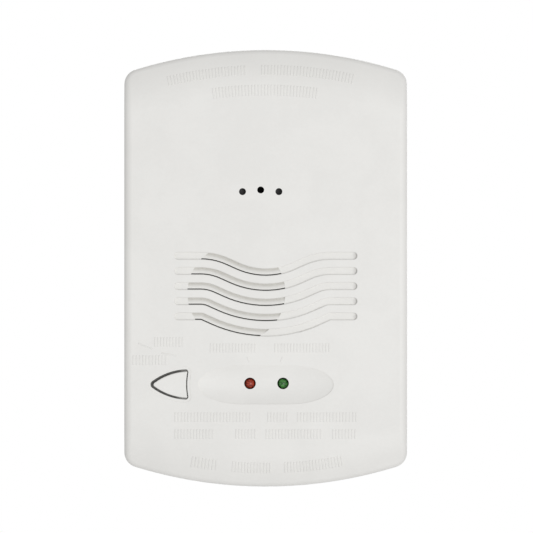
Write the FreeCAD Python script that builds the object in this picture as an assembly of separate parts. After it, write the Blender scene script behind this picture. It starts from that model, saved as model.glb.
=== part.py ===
import FreeCAD, Part
import math
import os

V = FreeCAD.Vector

# Wall-mounted carbon monoxide detector, in millimetres.
# Frame: +Z up along the housing, the face looks towards -Y, and the origin is the centre of the
# wall plate's back face, which lies on the wall. Y is negative in front of the wall.

# Housing
HEIGHT = 129.5           # crown to crown of the two curved ends
WIDTH = 83.8             # side to side
DEPTH = 33.0             # wall to the flat of the face
END_R = 131.0            # radius of the curved ends in front view
CORNER_R = 4.5           # radius where an end meets a side
ROLL_LENGTH = 12.0       # band at each end over which the face rolls back
ROLL_R = 23.0            # radius of that roll
FACE_EDGE_R = 2.2        # rounding round the front rim
BACK_EDGE_R = 0.8        # rounding round the back rim
WALL = 2.2               # wall of the front cover
SEAM_Y = -10.0           # plane where the two covers meet
SEAM_BEVEL = 0.4         # bevel that shows the seam as a fine groove
WALL_GAP = 2.0           # clearance of the back rim from the wall
REAR_WALL = 3.5          # side wall of the rear cover
REAR_FLOOR = 2.0         # floor of the rear cover
POCKET_RIM = 3.6         # rim round the pocket that takes the wall plate
POCKET_DEPTH = 2.5       # depth of that pocket behind the back rim
TONGUE_DEPTH = 3.0       # how far the rear cover's tongue enters the front cover
TONGUE_GAP = 0.1         # clearance round the tongue

# Fasteners
COVER_SCREW_SIDE = 7.9   # cover screws inside the housing's sides
COVER_SCREW_END = 8.26   # and inside the curved ends
BOSS_R = 3.2             # screw boss in the front cover
SCREW_R = 1.45           # thread radius of the cover and board screws
SCREW_FIT = 0.08         # clearance between a thread and its pilot hole
BOARD_SCREW_SIDE = 7.4   # board screws inside the housing's sides
BOARD_SCREW_Z = (30.0, -14.0)
POST_R = 2.5             # board post in the front cover

# Gas holes
GAS_HOLE_R = 1.03
GAS_HOLE_X = -1.48       # middle hole
GAS_HOLE_Z = 23.2
GAS_HOLE_PITCH = 5.39
GAS_HOLE_DROP = 0.5      # the outer holes sit this much lower

# Wavy grille
GROOVE_COUNT = 5
GROOVE_PITCH = 4.48
GROOVE_HEIGHT = 2.1
GROOVE_TOP_Z = 4.75      # upper edge of the top groove at its level ends
GROOVE_HALF = 26.0       # half length up to the round ends
GROOVE_DEPTH = 0.8
GROOVE_LIP_R = 0.25      # rounding of the groove's edges on the face
WAVE_DROP = 4.85         # depth of the wave's valley
SHOULDER_X = 19.3        # centres of the shoulder arcs
SHOULDER_MIN_R = 0.5     # shoulder radius of the lowest line
VALLEY_Z = 19.1          # centre height of the valley arcs
LOUVRE_X = -8.7          # round area in front of the sounder
LOUVRE_Z = -7.3
LOUVRE_R = 14.5
LOUVRE_DEPTH = 1.2       # groove depth inside the round area, at the blade's upper edge
LOUVRE_INSET = 0.03      # step between the deep floor and the groove's walls
BLADE_LEAN = 2.0         # how far a blade leans up for the louvre's depth, as a share of its height
SLIT_HEIGHT = 0.3        # through slit under each blade

# Lamp recess
DISH_Z = -34.5
DISH_FLAT = 7.0          # half length of its straight middle
DISH_HALF = 20.1         # half length over all
DISH_HEIGHT = 11.5
DISH_STEP = 0.3          # upright edge before the scoop starts
DISH_DEPTH = 1.5         # whole depth at the middle
ALARM_LAMP_X = -4.65
POWER_LAMP_X = 5.15
LAMP_Z = -34.1
LAMP_HOLE_R = 1.72
LAMP_R = 1.5
LAMP_LENGTH = 5.3
LAMP_FLANGE_R = 1.9
LAMP_FLANGE = 1.0
LAMP_SINK = 0.15         # lamp tip behind the floor of the recess
LEAD_X = 0.92            # lamp leads either side of the lamp's axis
LEAD = 0.5               # side of a square lead
LEAD_GAP = 0.12          # clearance round a lead
LEAD_IN = 2.2            # length of the leads inside the lens
SPACER_R = 2.4

# Test button
BUTTON_LEFT = -34.1      # tip of its opening
BUTTON_RIGHT = -22.9
BUTTON_TOP = -29.9
BUTTON_BOTTOM = -38.9
BUTTON_TIP_R = 1.25
BUTTON_CORNER_R = 0.85
BUTTON_SIDE_R = 18.0     # long sides bulge outwards
BUTTON_BACK_R = 19.7     # short side curves inwards
BUTTON_GAP = 0.6         # clearance round the button
BUTTON_SHIFT = (0.28, -0.06)   # how far the cap sits off the middle of its opening, x and z
BEZEL = 0.85             # width of the shallow border round the opening
BEZEL_DEPTH = 0.15
BUTTON_TRAVEL = 0.5
BUTTON_EDGE_R = 0.3
BUTTON_FLANGE = 1.2      # flange thickness behind the face
BUTTON_FLANGE_WIDTH = 1.3
BUTTON_PLAY = 0.2        # gap between flange and face wall
STEM_R = 1.6
SWITCH_X = -27.4
SWITCH_SIDE = 6.0
SWITCH_PEG = 2.2         # rivets of the switch cover either side of its centre
SWITCH_PEG_R = 0.3
SWITCH_PEG_HEAD_R = 0.45
SWITCH_LEG = 2.25        # legs above and below the switch's centre
SWITCH_HEIGHT = 3.5
SWITCH_COVER = 0.3
PLUNGER_R = 1.75
PLUNGER_FIT = 0.08
PLUNGER_LENGTH = 5.2
PLUNGER_SINK = 1.7       # part of the plunger inside the switch body
PLUNGER_TOUCH = 0.04     # gap between button stem and plunger

# Circuit board
BOARD_BACK_Y = -15.0
BOARD = 1.6
BOARD_INSET = 3.2        # board edge inside the housing outline
BOARD_NOTCH = 0.5        # clearance round the screw bosses
LEAD_OUT = 1.4           # solder side length of the leads

# Gas cell
CELL_X = -1.48
CELL_Z = 22.9
CELL_R = 10.0
CELL_HEIGHT = 11.4
CELL_WALL = 0.6
CELL_CAP_R = 8.6
CELL_CAP = 1.2
CELL_CAP_HOLE_R = 1.5
CELL_FILTER = 2.0
GASKET_R = 9.2
GASKET_BORE_R = 7.2

# Sounder
SOUNDER_R = 16.5
SOUNDER_HEIGHT = 9.6
SOUNDER_WALL = 1.5
SOUNDER_LID = 1.4
SOUNDER_PORT_R = 2.6
SEAL_CLEAR = 0.4         # foam ring's bore beyond the round area
SEAL_WIDTH = 1.4
PIEZO_LEDGE = 1.5        # clearance of the disc inside the sounder's wall
PIEZO = 0.25
PIEZO_HEIGHT = 5.0       # disc above the bottom of the sounder
CERAMIC_R = 9.5
CERAMIC = 0.2

# Wall plate
PLATE = 2.5
PLATE_WIDTH = 60.0
PLATE_HEIGHT = 108.0
PLATE_CORNER_R = 6.0
BOX_SCREW_Z = 41.65      # screws of a single electrical box, 83.3 mm apart
BOX_SCREW_R = 2.1
BOX_SCREW_SEAT_R = 4.3
BOX_SCREW_SEAT = 0.8
SLOT_X = 22.5            # slotted holes for wall screws
SLOT_R = 2.25
SLOT_LENGTH = 8.0
WINDOW_HALF = 15.0       # wire window
WINDOW_LOW = -20.0
WINDOW_TOP = 24.0
WINDOW_R = 2.5

# Hinge hooks and latch
HINGE_DROP = 6.75        # hinge line below the top of the housing
HOOK_X = 14.0
HOOK_WIDTH = 8.0
HOOK_SIDE = 0.5          # clearance beside a hook
HOOK_FIT = 0.1           # clearance under the nose
HOOK_ARM = 2.0
HOOK_BEHIND = 0.9        # clearance between the rear cover's floor and the hook's lip
HOOK_LIP = 1.6
HOOK_LIP_HEIGHT = 2.3
HOOK_SLOT = 4.0
LATCH_WIDTH = 12.0
LATCH_SIDE = 1.0         # clearance beside the finger
LATCH_Z = -51.5          # underside of the latch finger
LATCH = 1.5
LATCH_PAST = 2.1         # finger beyond the rear cover's floor
LATCH_NOSE = 0.9
LATCH_SLOT_TOP = -49.0
LATCH_SLOT_LOW = -53.0
RELEASE_HALF = 4.0       # notch for a screwdriver in the lower rim
RELEASE = 1.2

# Terminals
POLES = 6
POLE_PITCH = 7.62
TERMINAL_LOW = 26.0
TERMINAL_TOP = 36.0
TERMINAL_END = 1.0       # block beyond its outer poles
TERMINAL_HEIGHT = 10.0
TERMINAL_FIT = 1.0       # clearance of the block in the rear cover's window
TERMINAL_SCREW_R = 2.2
TERMINAL_SCREW_SINK = 1.0  # screw heads behind the block's face
TERMINAL_SCREW_UP = 0.4    # screws above the block's middle
CLAMP = 0.8              # thickness of the clamps and contacts
CLAMP_DEPTH = 3.3        # clamps behind the block's face
CLAMP_HALF = 2.2
CLAMP_TALL = 2.4
CLAMP_BORE_R = 1.4
CONTACT_DEPTH = 7.4      # back of the contacts behind the block's face
TERMINAL_PIN_Z = 34.6

FACE_Y = -DEPTH
INNER_Y = FACE_Y + WALL
BACK_Y = -WALL_GAP
FLOOR_Y = BACK_Y - POCKET_DEPTH
FLOOR_INNER_Y = FLOOR_Y - REAR_FLOOR
BOARD_Y = BOARD_BACK_Y - BOARD
END_CENTRE = HEIGHT / 2 - END_R
HINGE_Y = FLOOR_Y - REAR_FLOOR / 2
HINGE_Z = HEIGHT / 2 - HINGE_DROP
HINGE_NOSE_R = REAR_FLOOR / 2   # rounded edge of the bar that hangs on the hooks
HOOK_REACH = -FLOOR_INNER_Y + HOOK_BEHIND + HOOK_LIP
LATCH_REACH = -FLOOR_INNER_Y + LATCH_PAST
COVER_SCREW_X = WIDTH / 2 - COVER_SCREW_SIDE
COVER_SCREW_Z = END_CENTRE + math.sqrt(END_R ** 2 - COVER_SCREW_X ** 2) - COVER_SCREW_END
BOARD_SCREW_X = WIDTH / 2 - BOARD_SCREW_SIDE
TERMINAL_HALF = POLES * POLE_PITCH / 2 + TERMINAL_END
TERMINAL_Z = (TERMINAL_LOW + TERMINAL_TOP) / 2
SEAL_BORE_R = LOUVRE_R + SEAL_CLEAR
SEAL_R = SEAL_BORE_R + SEAL_WIDTH
PIEZO_R = SOUNDER_R - SOUNDER_WALL - PIEZO_LEDGE
SHOULDER_Z = (GROOVE_TOP_Z - GROOVE_HEIGHT - (GROOVE_COUNT - 1) * GROOVE_PITCH
              - SHOULDER_MIN_R)
BUTTON_Z = (BUTTON_TOP + BUTTON_BOTTOM) / 2


# ---------------------------------------------------------------- helpers

def box(x0, x1, y0, y1, z0, z1):
    """A box between two corners, in any order."""
    low = V(min(x0, x1), min(y0, y1), min(z0, z1))
    return Part.makeBox(abs(x1 - x0), abs(y1 - y0), abs(z1 - z0), low)


def rod(radius, y0, y1, x, z):
    """A cylinder along Y between two depths."""
    return Part.makeCylinder(radius, abs(y1 - y0), V(x, min(y0, y1), z), V(0, 1, 0))


def tube(radius, bore, y0, y1, x, z):
    """A ring along Y."""
    return rod(radius, y0, y1, x, z).cut(rod(bore, y0, y1, x, z))


def prism(wire, y0, y1):
    """A wire in the plane y = 0 filled and extruded from y0 to y1."""
    face = Part.Face(wire)
    face.translate(V(0, y0, 0))
    return face.extrude(V(0, y1 - y0, 0))


def line(a, b):
    """A straight edge between two (x, z) points."""
    return Part.LineSegment(V(a[0], 0, a[1]), V(b[0], 0, b[1])).toShape()


def arc(a, b, c):
    """An arc through three (x, z) points."""
    return Part.Arc(V(a[0], 0, a[1]), V(b[0], 0, b[1]), V(c[0], 0, c[1])).toShape()


def polar(centre, radius, angle):
    """The (x, z) point at an angle on a circle."""
    return (centre[0] + radius * math.cos(angle), centre[1] + radius * math.sin(angle))


def rounded_box(x0, x1, y0, y1, z0, z1, radius):
    """A box whose edges along Y are rounded."""
    return fillet(box(x0, x1, y0, y1, z0, z1), radius, along_y)


def along_y(edge):
    """Whether an edge runs along Y."""
    size = edge.BoundBox
    return size.YLength > 1e-3 and size.XLength < 1e-3 and size.ZLength < 1e-3


def in_plane(y):
    """A test for edges that lie at one depth."""
    return lambda edge: abs(edge.BoundBox.YMin - y) < 1e-3 and abs(edge.BoundBox.YMax - y) < 1e-3


def fillet(shape, radius, chosen):
    """The shape with its chosen edges rounded."""
    return shape.makeFillet(radius, [e for e in shape.Edges if chosen(e)])


def fused(shapes):
    """Several solids joined into one."""
    return shapes[0].multiFuse(shapes[1:]).removeSplitter()


def export(node, *solids):
    """Write one node, a solid or a group of separate solids."""
    shape = solids[0] if len(solids) == 1 else Part.makeCompound(list(solids))
    shape.exportStep(os.path.join("parts", node + ".step"))


# ---------------------------------------------------------------- housing

def outline(inset):
    """The housing's front view outline, moved inwards by inset."""
    half = WIDTH / 2 - inset
    end = END_R - inset
    corner = max(CORNER_R - inset, 0.8)
    cx = half - corner
    cz = END_CENTRE + math.sqrt((end - corner) ** 2 - cx ** 2)
    turn = math.atan2(cz - END_CENTRE, cx)
    on_end = (end * math.cos(turn), END_CENTRE + end * math.sin(turn))
    middle = polar((cx, cz), corner, turn / 2)
    crown = (0, END_CENTRE + end)

    def flip(point, sx, sz):
        return (point[0] * sx, point[1] * sz)

    side = (half, cz)
    return Part.Wire([
        line(flip(side, 1, -1), side),
        arc(side, middle, on_end),
        arc(on_end, crown, flip(on_end, -1, 1)),
        arc(flip(on_end, -1, 1), flip(middle, -1, 1), flip(side, -1, 1)),
        line(flip(side, -1, 1), flip(side, -1, -1)),
        arc(flip(side, -1, -1), flip(middle, -1, -1), flip(on_end, -1, -1)),
        arc(flip(on_end, -1, -1), flip(crown, 1, -1), flip(on_end, 1, -1)),
        arc(flip(on_end, 1, -1), flip(middle, 1, -1), flip(side, 1, -1)),
    ])


def rolled_disc(inset, y_back, sign):
    """A disc about one end's centre whose front rolls back towards its rim."""
    flat_r = END_R - ROLL_LENGTH
    roll = ROLL_R - inset
    past = min(ROLL_LENGTH - inset + 3.0, 0.95 * roll)
    centre_y = FACE_Y + ROLL_R
    sweep = math.asin(past / roll)

    def on_roll(angle):
        return V(flat_r + roll * math.sin(angle), centre_y - roll * math.cos(angle), 0)

    rim = on_roll(sweep)
    profile = Part.Wire([
        Part.LineSegment(V(0, y_back, 0), V(rim.x, y_back, 0)).toShape(),
        Part.LineSegment(V(rim.x, y_back, 0), rim).toShape(),
        Part.Arc(rim, on_roll(sweep / 2), on_roll(0)).toShape(),
        Part.LineSegment(on_roll(0), V(0, FACE_Y + inset, 0)).toShape(),
        Part.LineSegment(V(0, FACE_Y + inset, 0), V(0, y_back, 0)).toShape(),
    ])
    disc = Part.Face(profile).revolve(V(0, 0, 0), V(0, 1, 0), 360)
    disc.translate(V(0, 0, sign * END_CENTRE))
    return disc


def housing_solid(inset, y_back):
    """The housing's outside, moved inwards by inset, from y_back to its face."""
    block = prism(outline(inset), y_back, FACE_Y - 1)
    return block.common(rolled_disc(inset, y_back, 1)).common(rolled_disc(inset, y_back, -1))


def wave(flat_z, end_x):
    """The edges of one wavy line whose level ends lie at flat_z, from left to right."""
    shoulder = flat_z - SHOULDER_Z
    valley = VALLEY_Z - flat_z + WAVE_DROP
    rise = VALLEY_Z - SHOULDER_Z
    slope = math.atan2(SHOULDER_X, rise) - math.acos((rise + WAVE_DROP) / math.hypot(SHOULDER_X, rise))
    up = math.pi / 2

    def side(sign):
        centre = (sign * SHOULDER_X, SHOULDER_Z)
        start = polar(centre, shoulder, up)
        middle = polar(centre, shoulder, up + sign * slope / 2)
        end = polar(centre, shoulder, up + sign * slope)
        low = polar((0, VALLEY_Z), valley, -up + sign * slope)
        return start, middle, end, low

    left = side(-1)
    right = side(1)
    return [
        line((-end_x, flat_z), left[0]),
        arc(left[0], left[1], left[2]),
        line(left[2], left[3]),
        arc(left[3], (0, VALLEY_Z - valley), right[3]),
        line(right[3], right[2]),
        arc(right[2], right[1], right[0]),
        line(right[0], (end_x, flat_z)),
    ]


def wavy_band(top_z, low_z, end_x):
    """A closed wire between two wavy lines, with round ends."""
    middle = (top_z + low_z) / 2
    radius = (top_z - low_z) / 2
    ends = [arc((s * end_x, top_z), (s * (end_x + radius), middle), (s * end_x, low_z)) for s in (1, -1)]
    lower = wave(low_z, end_x)
    lower.reverse()
    return Part.Wire(Part.__sortEdges__(wave(top_z, end_x) + [ends[0]] + lower + [ends[1]]))


def groove_levels():
    """Upper and lower edge heights of each groove at its level ends."""
    tops = [GROOVE_TOP_Z - i * GROOVE_PITCH for i in range(GROOVE_COUNT)]
    return [(top, top - GROOVE_HEIGHT) for top in tops]


def shallow_grooves():
    """The blind wavy grooves."""
    return [prism(wavy_band(top, low, GROOVE_HALF), FACE_Y - 1, FACE_Y + GROOVE_DEPTH)
            for top, low in groove_levels()]


def louvre_cuts():
    """Slanting blades and the slits under them, inside the round area in front of the sounder."""
    area = rod(LOUVRE_R, FACE_Y - 2, INNER_Y + 1, LOUVRE_X, LOUVRE_Z)
    cuts = []
    front_y = FACE_Y + GROOVE_DEPTH - 0.1
    for top, low in groove_levels():
        deep_top = top - LOUVRE_INSET
        deep_low = low + LOUVRE_INSET
        lip = deep_low + SLIT_HEIGHT
        band = wavy_band(deep_top, lip, GROOVE_HALF)
        square = prism(band, front_y, FACE_Y + LOUVRE_DEPTH)
        face = Part.Face(band)
        face.translate(V(0, front_y, 0))
        slanted = face.extrude(V(0, LOUVRE_DEPTH, (deep_top - lip) * BLADE_LEAN))
        slit = prism(wavy_band(lip, deep_low, GROOVE_HALF), front_y, INNER_Y + 1)
        cuts += [square.common(slanted).common(area), slit.common(area)]
    return cuts


def dish_plan(height):
    """The lamp recess in front view: straight middle, elliptical ends."""
    reach = DISH_HALF - DISH_FLAT
    edges = []
    for sign in (1, -1):
        end = Part.Ellipse(V(0, 0, 0), reach, height / 2).toShape(-math.pi / 2, math.pi / 2)
        end.rotate(V(0, 0, 0), V(1, 0, 0), 90)
        if sign < 0:
            end.rotate(V(0, 0, 0), V(0, 0, 1), 180)
        end.translate(V(sign * DISH_FLAT, 0, DISH_Z))
        edges.append(end)
        level = DISH_Z + sign * height / 2
        edges.append(line((-DISH_FLAT, level), (DISH_FLAT, level)))
    return Part.Wire(Part.__sortEdges__(edges))


def dish_cut():
    """The scooped recess that the lamps shine out of."""
    scoop = DISH_DEPTH - DISH_STEP
    radius = ((DISH_HEIGHT / 2) ** 2 + scoop ** 2) / (2 * scoop)
    reach = radius * (DISH_HALF - DISH_FLAT) / (DISH_HEIGHT / 2)
    centre_y = FACE_Y + DISH_DEPTH - radius
    quarter = Part.Wire([
        Part.Ellipse(V(0, 0, 0), reach, radius).toShape(0, math.pi / 2),
        Part.LineSegment(V(0, radius, 0), V(0, 0, 0)).toShape(),
        Part.LineSegment(V(0, 0, 0), V(reach, 0, 0)).toShape(),
    ])
    end = Part.Face(quarter).revolve(V(0, 0, 0), V(1, 0, 0), 360)
    pieces = [Part.makeCylinder(radius, 2 * DISH_FLAT, V(-DISH_FLAT, centre_y, DISH_Z), V(1, 0, 0))]
    for sign in (1, -1):
        cap = end.copy()
        if sign < 0:
            cap.rotate(V(0, 0, 0), V(0, 0, 1), 180)
        cap.translate(V(sign * DISH_FLAT, centre_y, DISH_Z))
        pieces.append(cap)
    scoops = pieces[0].multiFuse(pieces[1:])
    return scoops.common(prism(dish_plan(DISH_HEIGHT), FACE_Y - 1, FACE_Y + DISH_DEPTH + 1))


def button_outline(inset):
    """The button's triangle with bowed sides, moved inwards by inset."""
    tip_c = (BUTTON_LEFT + BUTTON_TIP_R, BUTTON_Z)
    corner_c = (BUTTON_RIGHT - BUTTON_CORNER_R, BUTTON_TOP - BUTTON_CORNER_R)
    low_c = (corner_c[0], 2 * BUTTON_Z - corner_c[1])
    to_tip = BUTTON_SIDE_R - BUTTON_TIP_R
    to_corner = BUTTON_SIDE_R - BUTTON_CORNER_R
    span = math.hypot(corner_c[0] - tip_c[0], corner_c[1] - tip_c[1])
    heading = math.atan2(corner_c[1] - tip_c[1], corner_c[0] - tip_c[0])
    spread = math.acos((to_tip ** 2 + span ** 2 - to_corner ** 2) / (2 * to_tip * span))
    bow_c = polar(tip_c, to_tip, heading - spread)
    back_x = corner_c[0] + math.sqrt((BUTTON_BACK_R + BUTTON_CORNER_R) ** 2 - (corner_c[1] - BUTTON_Z) ** 2)
    back_c = (back_x, BUTTON_Z)
    tip_r = BUTTON_TIP_R - inset
    corner_r = BUTTON_CORNER_R - inset
    side_r = BUTTON_SIDE_R - inset
    back_r = BUTTON_BACK_R + inset

    def towards(origin, target):
        return math.atan2(target[1] - origin[1], target[0] - origin[0])

    def mirror(point):
        return (point[0], 2 * BUTTON_Z - point[1])

    tip_angle = towards(bow_c, tip_c)
    corner_angle = towards(bow_c, corner_c)
    back_angle = towards(corner_c, back_c)
    tip_end = polar(tip_c, tip_r, tip_angle)
    side_middle = polar(bow_c, side_r, (tip_angle + corner_angle) / 2)
    side_end = polar(corner_c, corner_r, corner_angle)
    corner_middle = polar(corner_c, corner_r, (corner_angle + back_angle) / 2)
    corner_end = polar(corner_c, corner_r, back_angle)
    return Part.Wire([
        arc(mirror(tip_end), (tip_c[0] - tip_r, BUTTON_Z), tip_end),
        arc(tip_end, side_middle, side_end),
        arc(side_end, corner_middle, corner_end),
        arc(corner_end, (back_x - back_r, BUTTON_Z), mirror(corner_end)),
        arc(mirror(corner_end), mirror(corner_middle), mirror(side_end)),
        arc(mirror(side_end), mirror(side_middle), mirror(tip_end)),
    ])


def gas_hole_places():
    """Centres of the three gas holes."""
    return [(GAS_HOLE_X + i * GAS_HOLE_PITCH, GAS_HOLE_Z - abs(i) * GAS_HOLE_DROP) for i in (-1, 0, 1)]


def cover_screw_places():
    """Centres of the four cover screws."""
    return [(sx * COVER_SCREW_X, sz * COVER_SCREW_Z) for sx in (-1, 1) for sz in (-1, 1)]


def board_screw_places():
    """Centres of the four board screws."""
    return [(sx * BOARD_SCREW_X, z) for sx in (-1, 1) for z in BOARD_SCREW_Z]


def front_cover():
    """The white front shell with its grille, openings, bosses and posts."""
    outside = housing_solid(0, SEAM_Y)

    def front_rim(edge):
        return edge.BoundBox.YMax < SEAM_Y - 1 and not along_y(edge) and on_side(edge)

    def on_side(edge):
        middle = edge.valueAt((edge.FirstParameter + edge.LastParameter) / 2)
        if abs(abs(middle.x) - WIDTH / 2) < 1e-2:
            return True
        radius = math.hypot(middle.x, abs(middle.z) - END_CENTRE)
        return radius > END_R - 0.1 or (abs(middle.x) > WIDTH / 2 - CORNER_R and radius > END_R - CORNER_R)

    outside = fillet(outside, FACE_EDGE_R, front_rim)
    shell = outside.cut(shallow_grooves())
    shell = fillet(shell, GROOVE_LIP_R, groove_lip)
    shell = shell.cut(housing_solid(WALL, SEAM_Y + 1))
    shell = shell.cut(louvre_cuts())
    shell = shell.cut([dish_cut()])
    root_y = INNER_Y - WALL / 3
    bosses = [rod(BOSS_R, FLOOR_INNER_Y - TONGUE_GAP, root_y, x, z) for x, z in cover_screw_places()]
    posts = [rod(POST_R, BOARD_Y, root_y, x, z) for x, z in board_screw_places()]
    shell = shell.multiFuse(bosses + posts)
    pilot = SCREW_R + SCREW_FIT
    cuts = [rod(pilot, 0, BOARD_Y - 4, x, z) for x, z in cover_screw_places()]
    cuts += [rod(pilot, 0, BOARD_Y - 8, x, z) for x, z in board_screw_places()]
    cuts += [rod(GAS_HOLE_R, FACE_Y - 1, INNER_Y + 1, x, z) for x, z in gas_hole_places()]
    cuts += [rod(LAMP_HOLE_R, FACE_Y - 1, INNER_Y + 1, x, LAMP_Z) for x in (ALARM_LAMP_X, POWER_LAMP_X)]
    cuts.append(prism(button_outline(0), FACE_Y - 1, INNER_Y + 1))
    cuts.append(prism(button_outline(-BEZEL), FACE_Y - 1, FACE_Y + BEZEL_DEPTH))
    return shell.cut(cuts)


def groove_lip(edge):
    """Whether an edge is the rim of a groove on the face."""
    size = edge.BoundBox
    inside = max(abs(size.XMin), abs(size.XMax)) < GROOVE_HALF + GROOVE_HEIGHT
    level = abs(size.YMin - FACE_Y) < 1e-3 and abs(size.YMax - FACE_Y) < 1e-3
    return inside and level and size.ZMax < GROOVE_TOP_Z + 0.5


def rear_cover():
    """The rear shell: pocket for the wall plate, hinge bar, latch slot and terminal window."""
    solid = prism(outline(0), BACK_Y, SEAM_Y)
    solid = fillet(solid, BACK_EDGE_R, in_plane(BACK_Y))
    solid = solid.makeChamfer(SEAM_BEVEL, [e for e in solid.Edges if in_plane(SEAM_Y)(e)])
    solid = solid.cut(prism(outline(POCKET_RIM), BACK_Y + 1, FLOOR_Y))
    tongue = prism(outline(WALL + TONGUE_GAP), SEAM_Y + 1, SEAM_Y - TONGUE_DEPTH)
    solid = solid.fuse(tongue)
    solid = solid.cut(prism(outline(REAR_WALL), FLOOR_INNER_Y, SEAM_Y - TONGUE_DEPTH - 1))
    cuts = []
    noses = []
    for sign in (-1, 1):
        x0 = sign * HOOK_X - HOOK_WIDTH / 2 - HOOK_SIDE
        x1 = sign * HOOK_X + HOOK_WIDTH / 2 + HOOK_SIDE
        low = HINGE_Z - HINGE_NOSE_R - HOOK_SLOT
        cuts.append(box(x0, x1, FLOOR_Y + 1, FLOOR_INNER_Y - 1, low, HINGE_Z))
        noses.append(Part.makeCylinder(HINGE_NOSE_R, x1 - x0, V(x0, HINGE_Y, HINGE_Z), V(1, 0, 0)))
    latch_half = LATCH_WIDTH / 2 + LATCH_SIDE
    cuts.append(box(-latch_half, latch_half, FLOOR_Y + 1, FLOOR_INNER_Y - 1, LATCH_SLOT_LOW, LATCH_SLOT_TOP))
    window = TERMINAL_HALF + TERMINAL_FIT
    cuts.append(rounded_box(-window, window, FLOOR_Y + 1, FLOOR_INNER_Y - 1,
                            TERMINAL_LOW - TERMINAL_FIT, TERMINAL_TOP + TERMINAL_FIT, 1.0))
    cuts.append(box(-RELEASE_HALF, RELEASE_HALF, BACK_Y + 1, BACK_Y - RELEASE, -HEIGHT, -HEIGHT / 2 + 5))
    cuts += [rod(SCREW_R + 0.3, FLOOR_Y + 1, FLOOR_INNER_Y - 1, x, z) for x, z in cover_screw_places()]
    return solid.cut(cuts).multiFuse(noses).removeSplitter()


# ---------------------------------------------------------------- wall plate

def hook(sign):
    """One hinge hook: arm out from the plate and a lip up behind the rear cover's bar."""
    x0 = sign * HOOK_X - HOOK_WIDTH / 2
    x1 = sign * HOOK_X + HOOK_WIDTH / 2
    arm_top = HINGE_Z - HINGE_NOSE_R - HOOK_FIT
    arm_low = arm_top - HOOK_ARM
    tab = box(x0, x1, 0, -PLATE, PLATE_HEIGHT / 2 - 4, arm_top)
    arm = box(x0, x1, -PLATE + 0.5, -HOOK_REACH, arm_low, arm_top)
    lip = box(x0, x1, -HOOK_REACH + HOOK_LIP, -HOOK_REACH, arm_low, arm_top + HOOK_LIP_HEIGHT)
    brace_x = sign * HOOK_X
    brace = prism_x([(-PLATE + 0.2, arm_low + 0.1), (-HOOK_REACH + 2.6, arm_low + 0.1),
                     (-PLATE + 0.2, arm_low - 1.6)], brace_x - 0.8, brace_x + 0.8)
    return fused([tab, arm, lip, brace])


def prism_x(points, x0, x1):
    """A polygon of (y, z) points extruded along X."""
    corners = [V(x0, y, z) for y, z in points]
    wire = Part.makePolygon(corners + corners[:1])
    return Part.Face(wire).extrude(V(x1 - x0, 0, 0))


def latch():
    """The springy finger at the bottom of the plate, with its nose pointing down."""
    half = LATCH_WIDTH / 2
    finger = box(-half, half, -PLATE + 0.5, -LATCH_REACH, LATCH_Z, LATCH_Z + LATCH)
    nose = prism_x([(-LATCH_REACH + 2.0, LATCH_Z + 0.1), (-LATCH_REACH + 1.6, LATCH_Z - LATCH_NOSE),
                    (-LATCH_REACH + 1.0, LATCH_Z - LATCH_NOSE), (-LATCH_REACH, LATCH_Z + 0.1)],
                   -half, half)
    return fused([finger, nose])


def slot_hole(x, z):
    """A hole drawn out along X."""
    reach = SLOT_LENGTH / 2 - SLOT_R
    ends = [rod(SLOT_R, 1, -PLATE - 1, x + s * reach, z) for s in (-1, 1)]
    return fused(ends + [box(x - reach, x + reach, 1, -PLATE - 1, z - SLOT_R, z + SLOT_R)])


def mounting_plate():
    """The plate that is screwed to the wall or an electrical box."""
    half_w = PLATE_WIDTH / 2
    half_h = PLATE_HEIGHT / 2
    plate = rounded_box(-half_w, half_w, 0, -PLATE, -half_h, half_h, PLATE_CORNER_R)
    plate = fillet(plate, 0.4, in_plane(-PLATE))
    wide = TERMINAL_HALF + 0.8
    window = rounded_box(-WINDOW_HALF, WINDOW_HALF, 1, -PLATE - 1, WINDOW_LOW, WINDOW_TOP + 4, WINDOW_R)
    upper = rounded_box(-wide, wide, 1, -PLATE - 1, TERMINAL_LOW - 1.8, TERMINAL_TOP + 1.4, WINDOW_R)
    cuts = [window, upper]
    for sign in (-1, 1):
        cuts.append(rod(BOX_SCREW_R, 1, -PLATE - 1, 0, sign * BOX_SCREW_Z))
        cuts.append(rod(BOX_SCREW_SEAT_R, -PLATE + BOX_SCREW_SEAT, -PLATE - 1, 0, sign * BOX_SCREW_Z))
        cuts.append(slot_hole(sign * SLOT_X, 0))
    plate = plate.cut(cuts)
    return fused([plate, hook(-1), hook(1), latch()])


# ---------------------------------------------------------------- fasteners

THREAD_PITCH = 0.9
THREAD_DEPTH = 0.3
RECESS_DEPTH = 1.0
RECESS_HALF = 0.28


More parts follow.
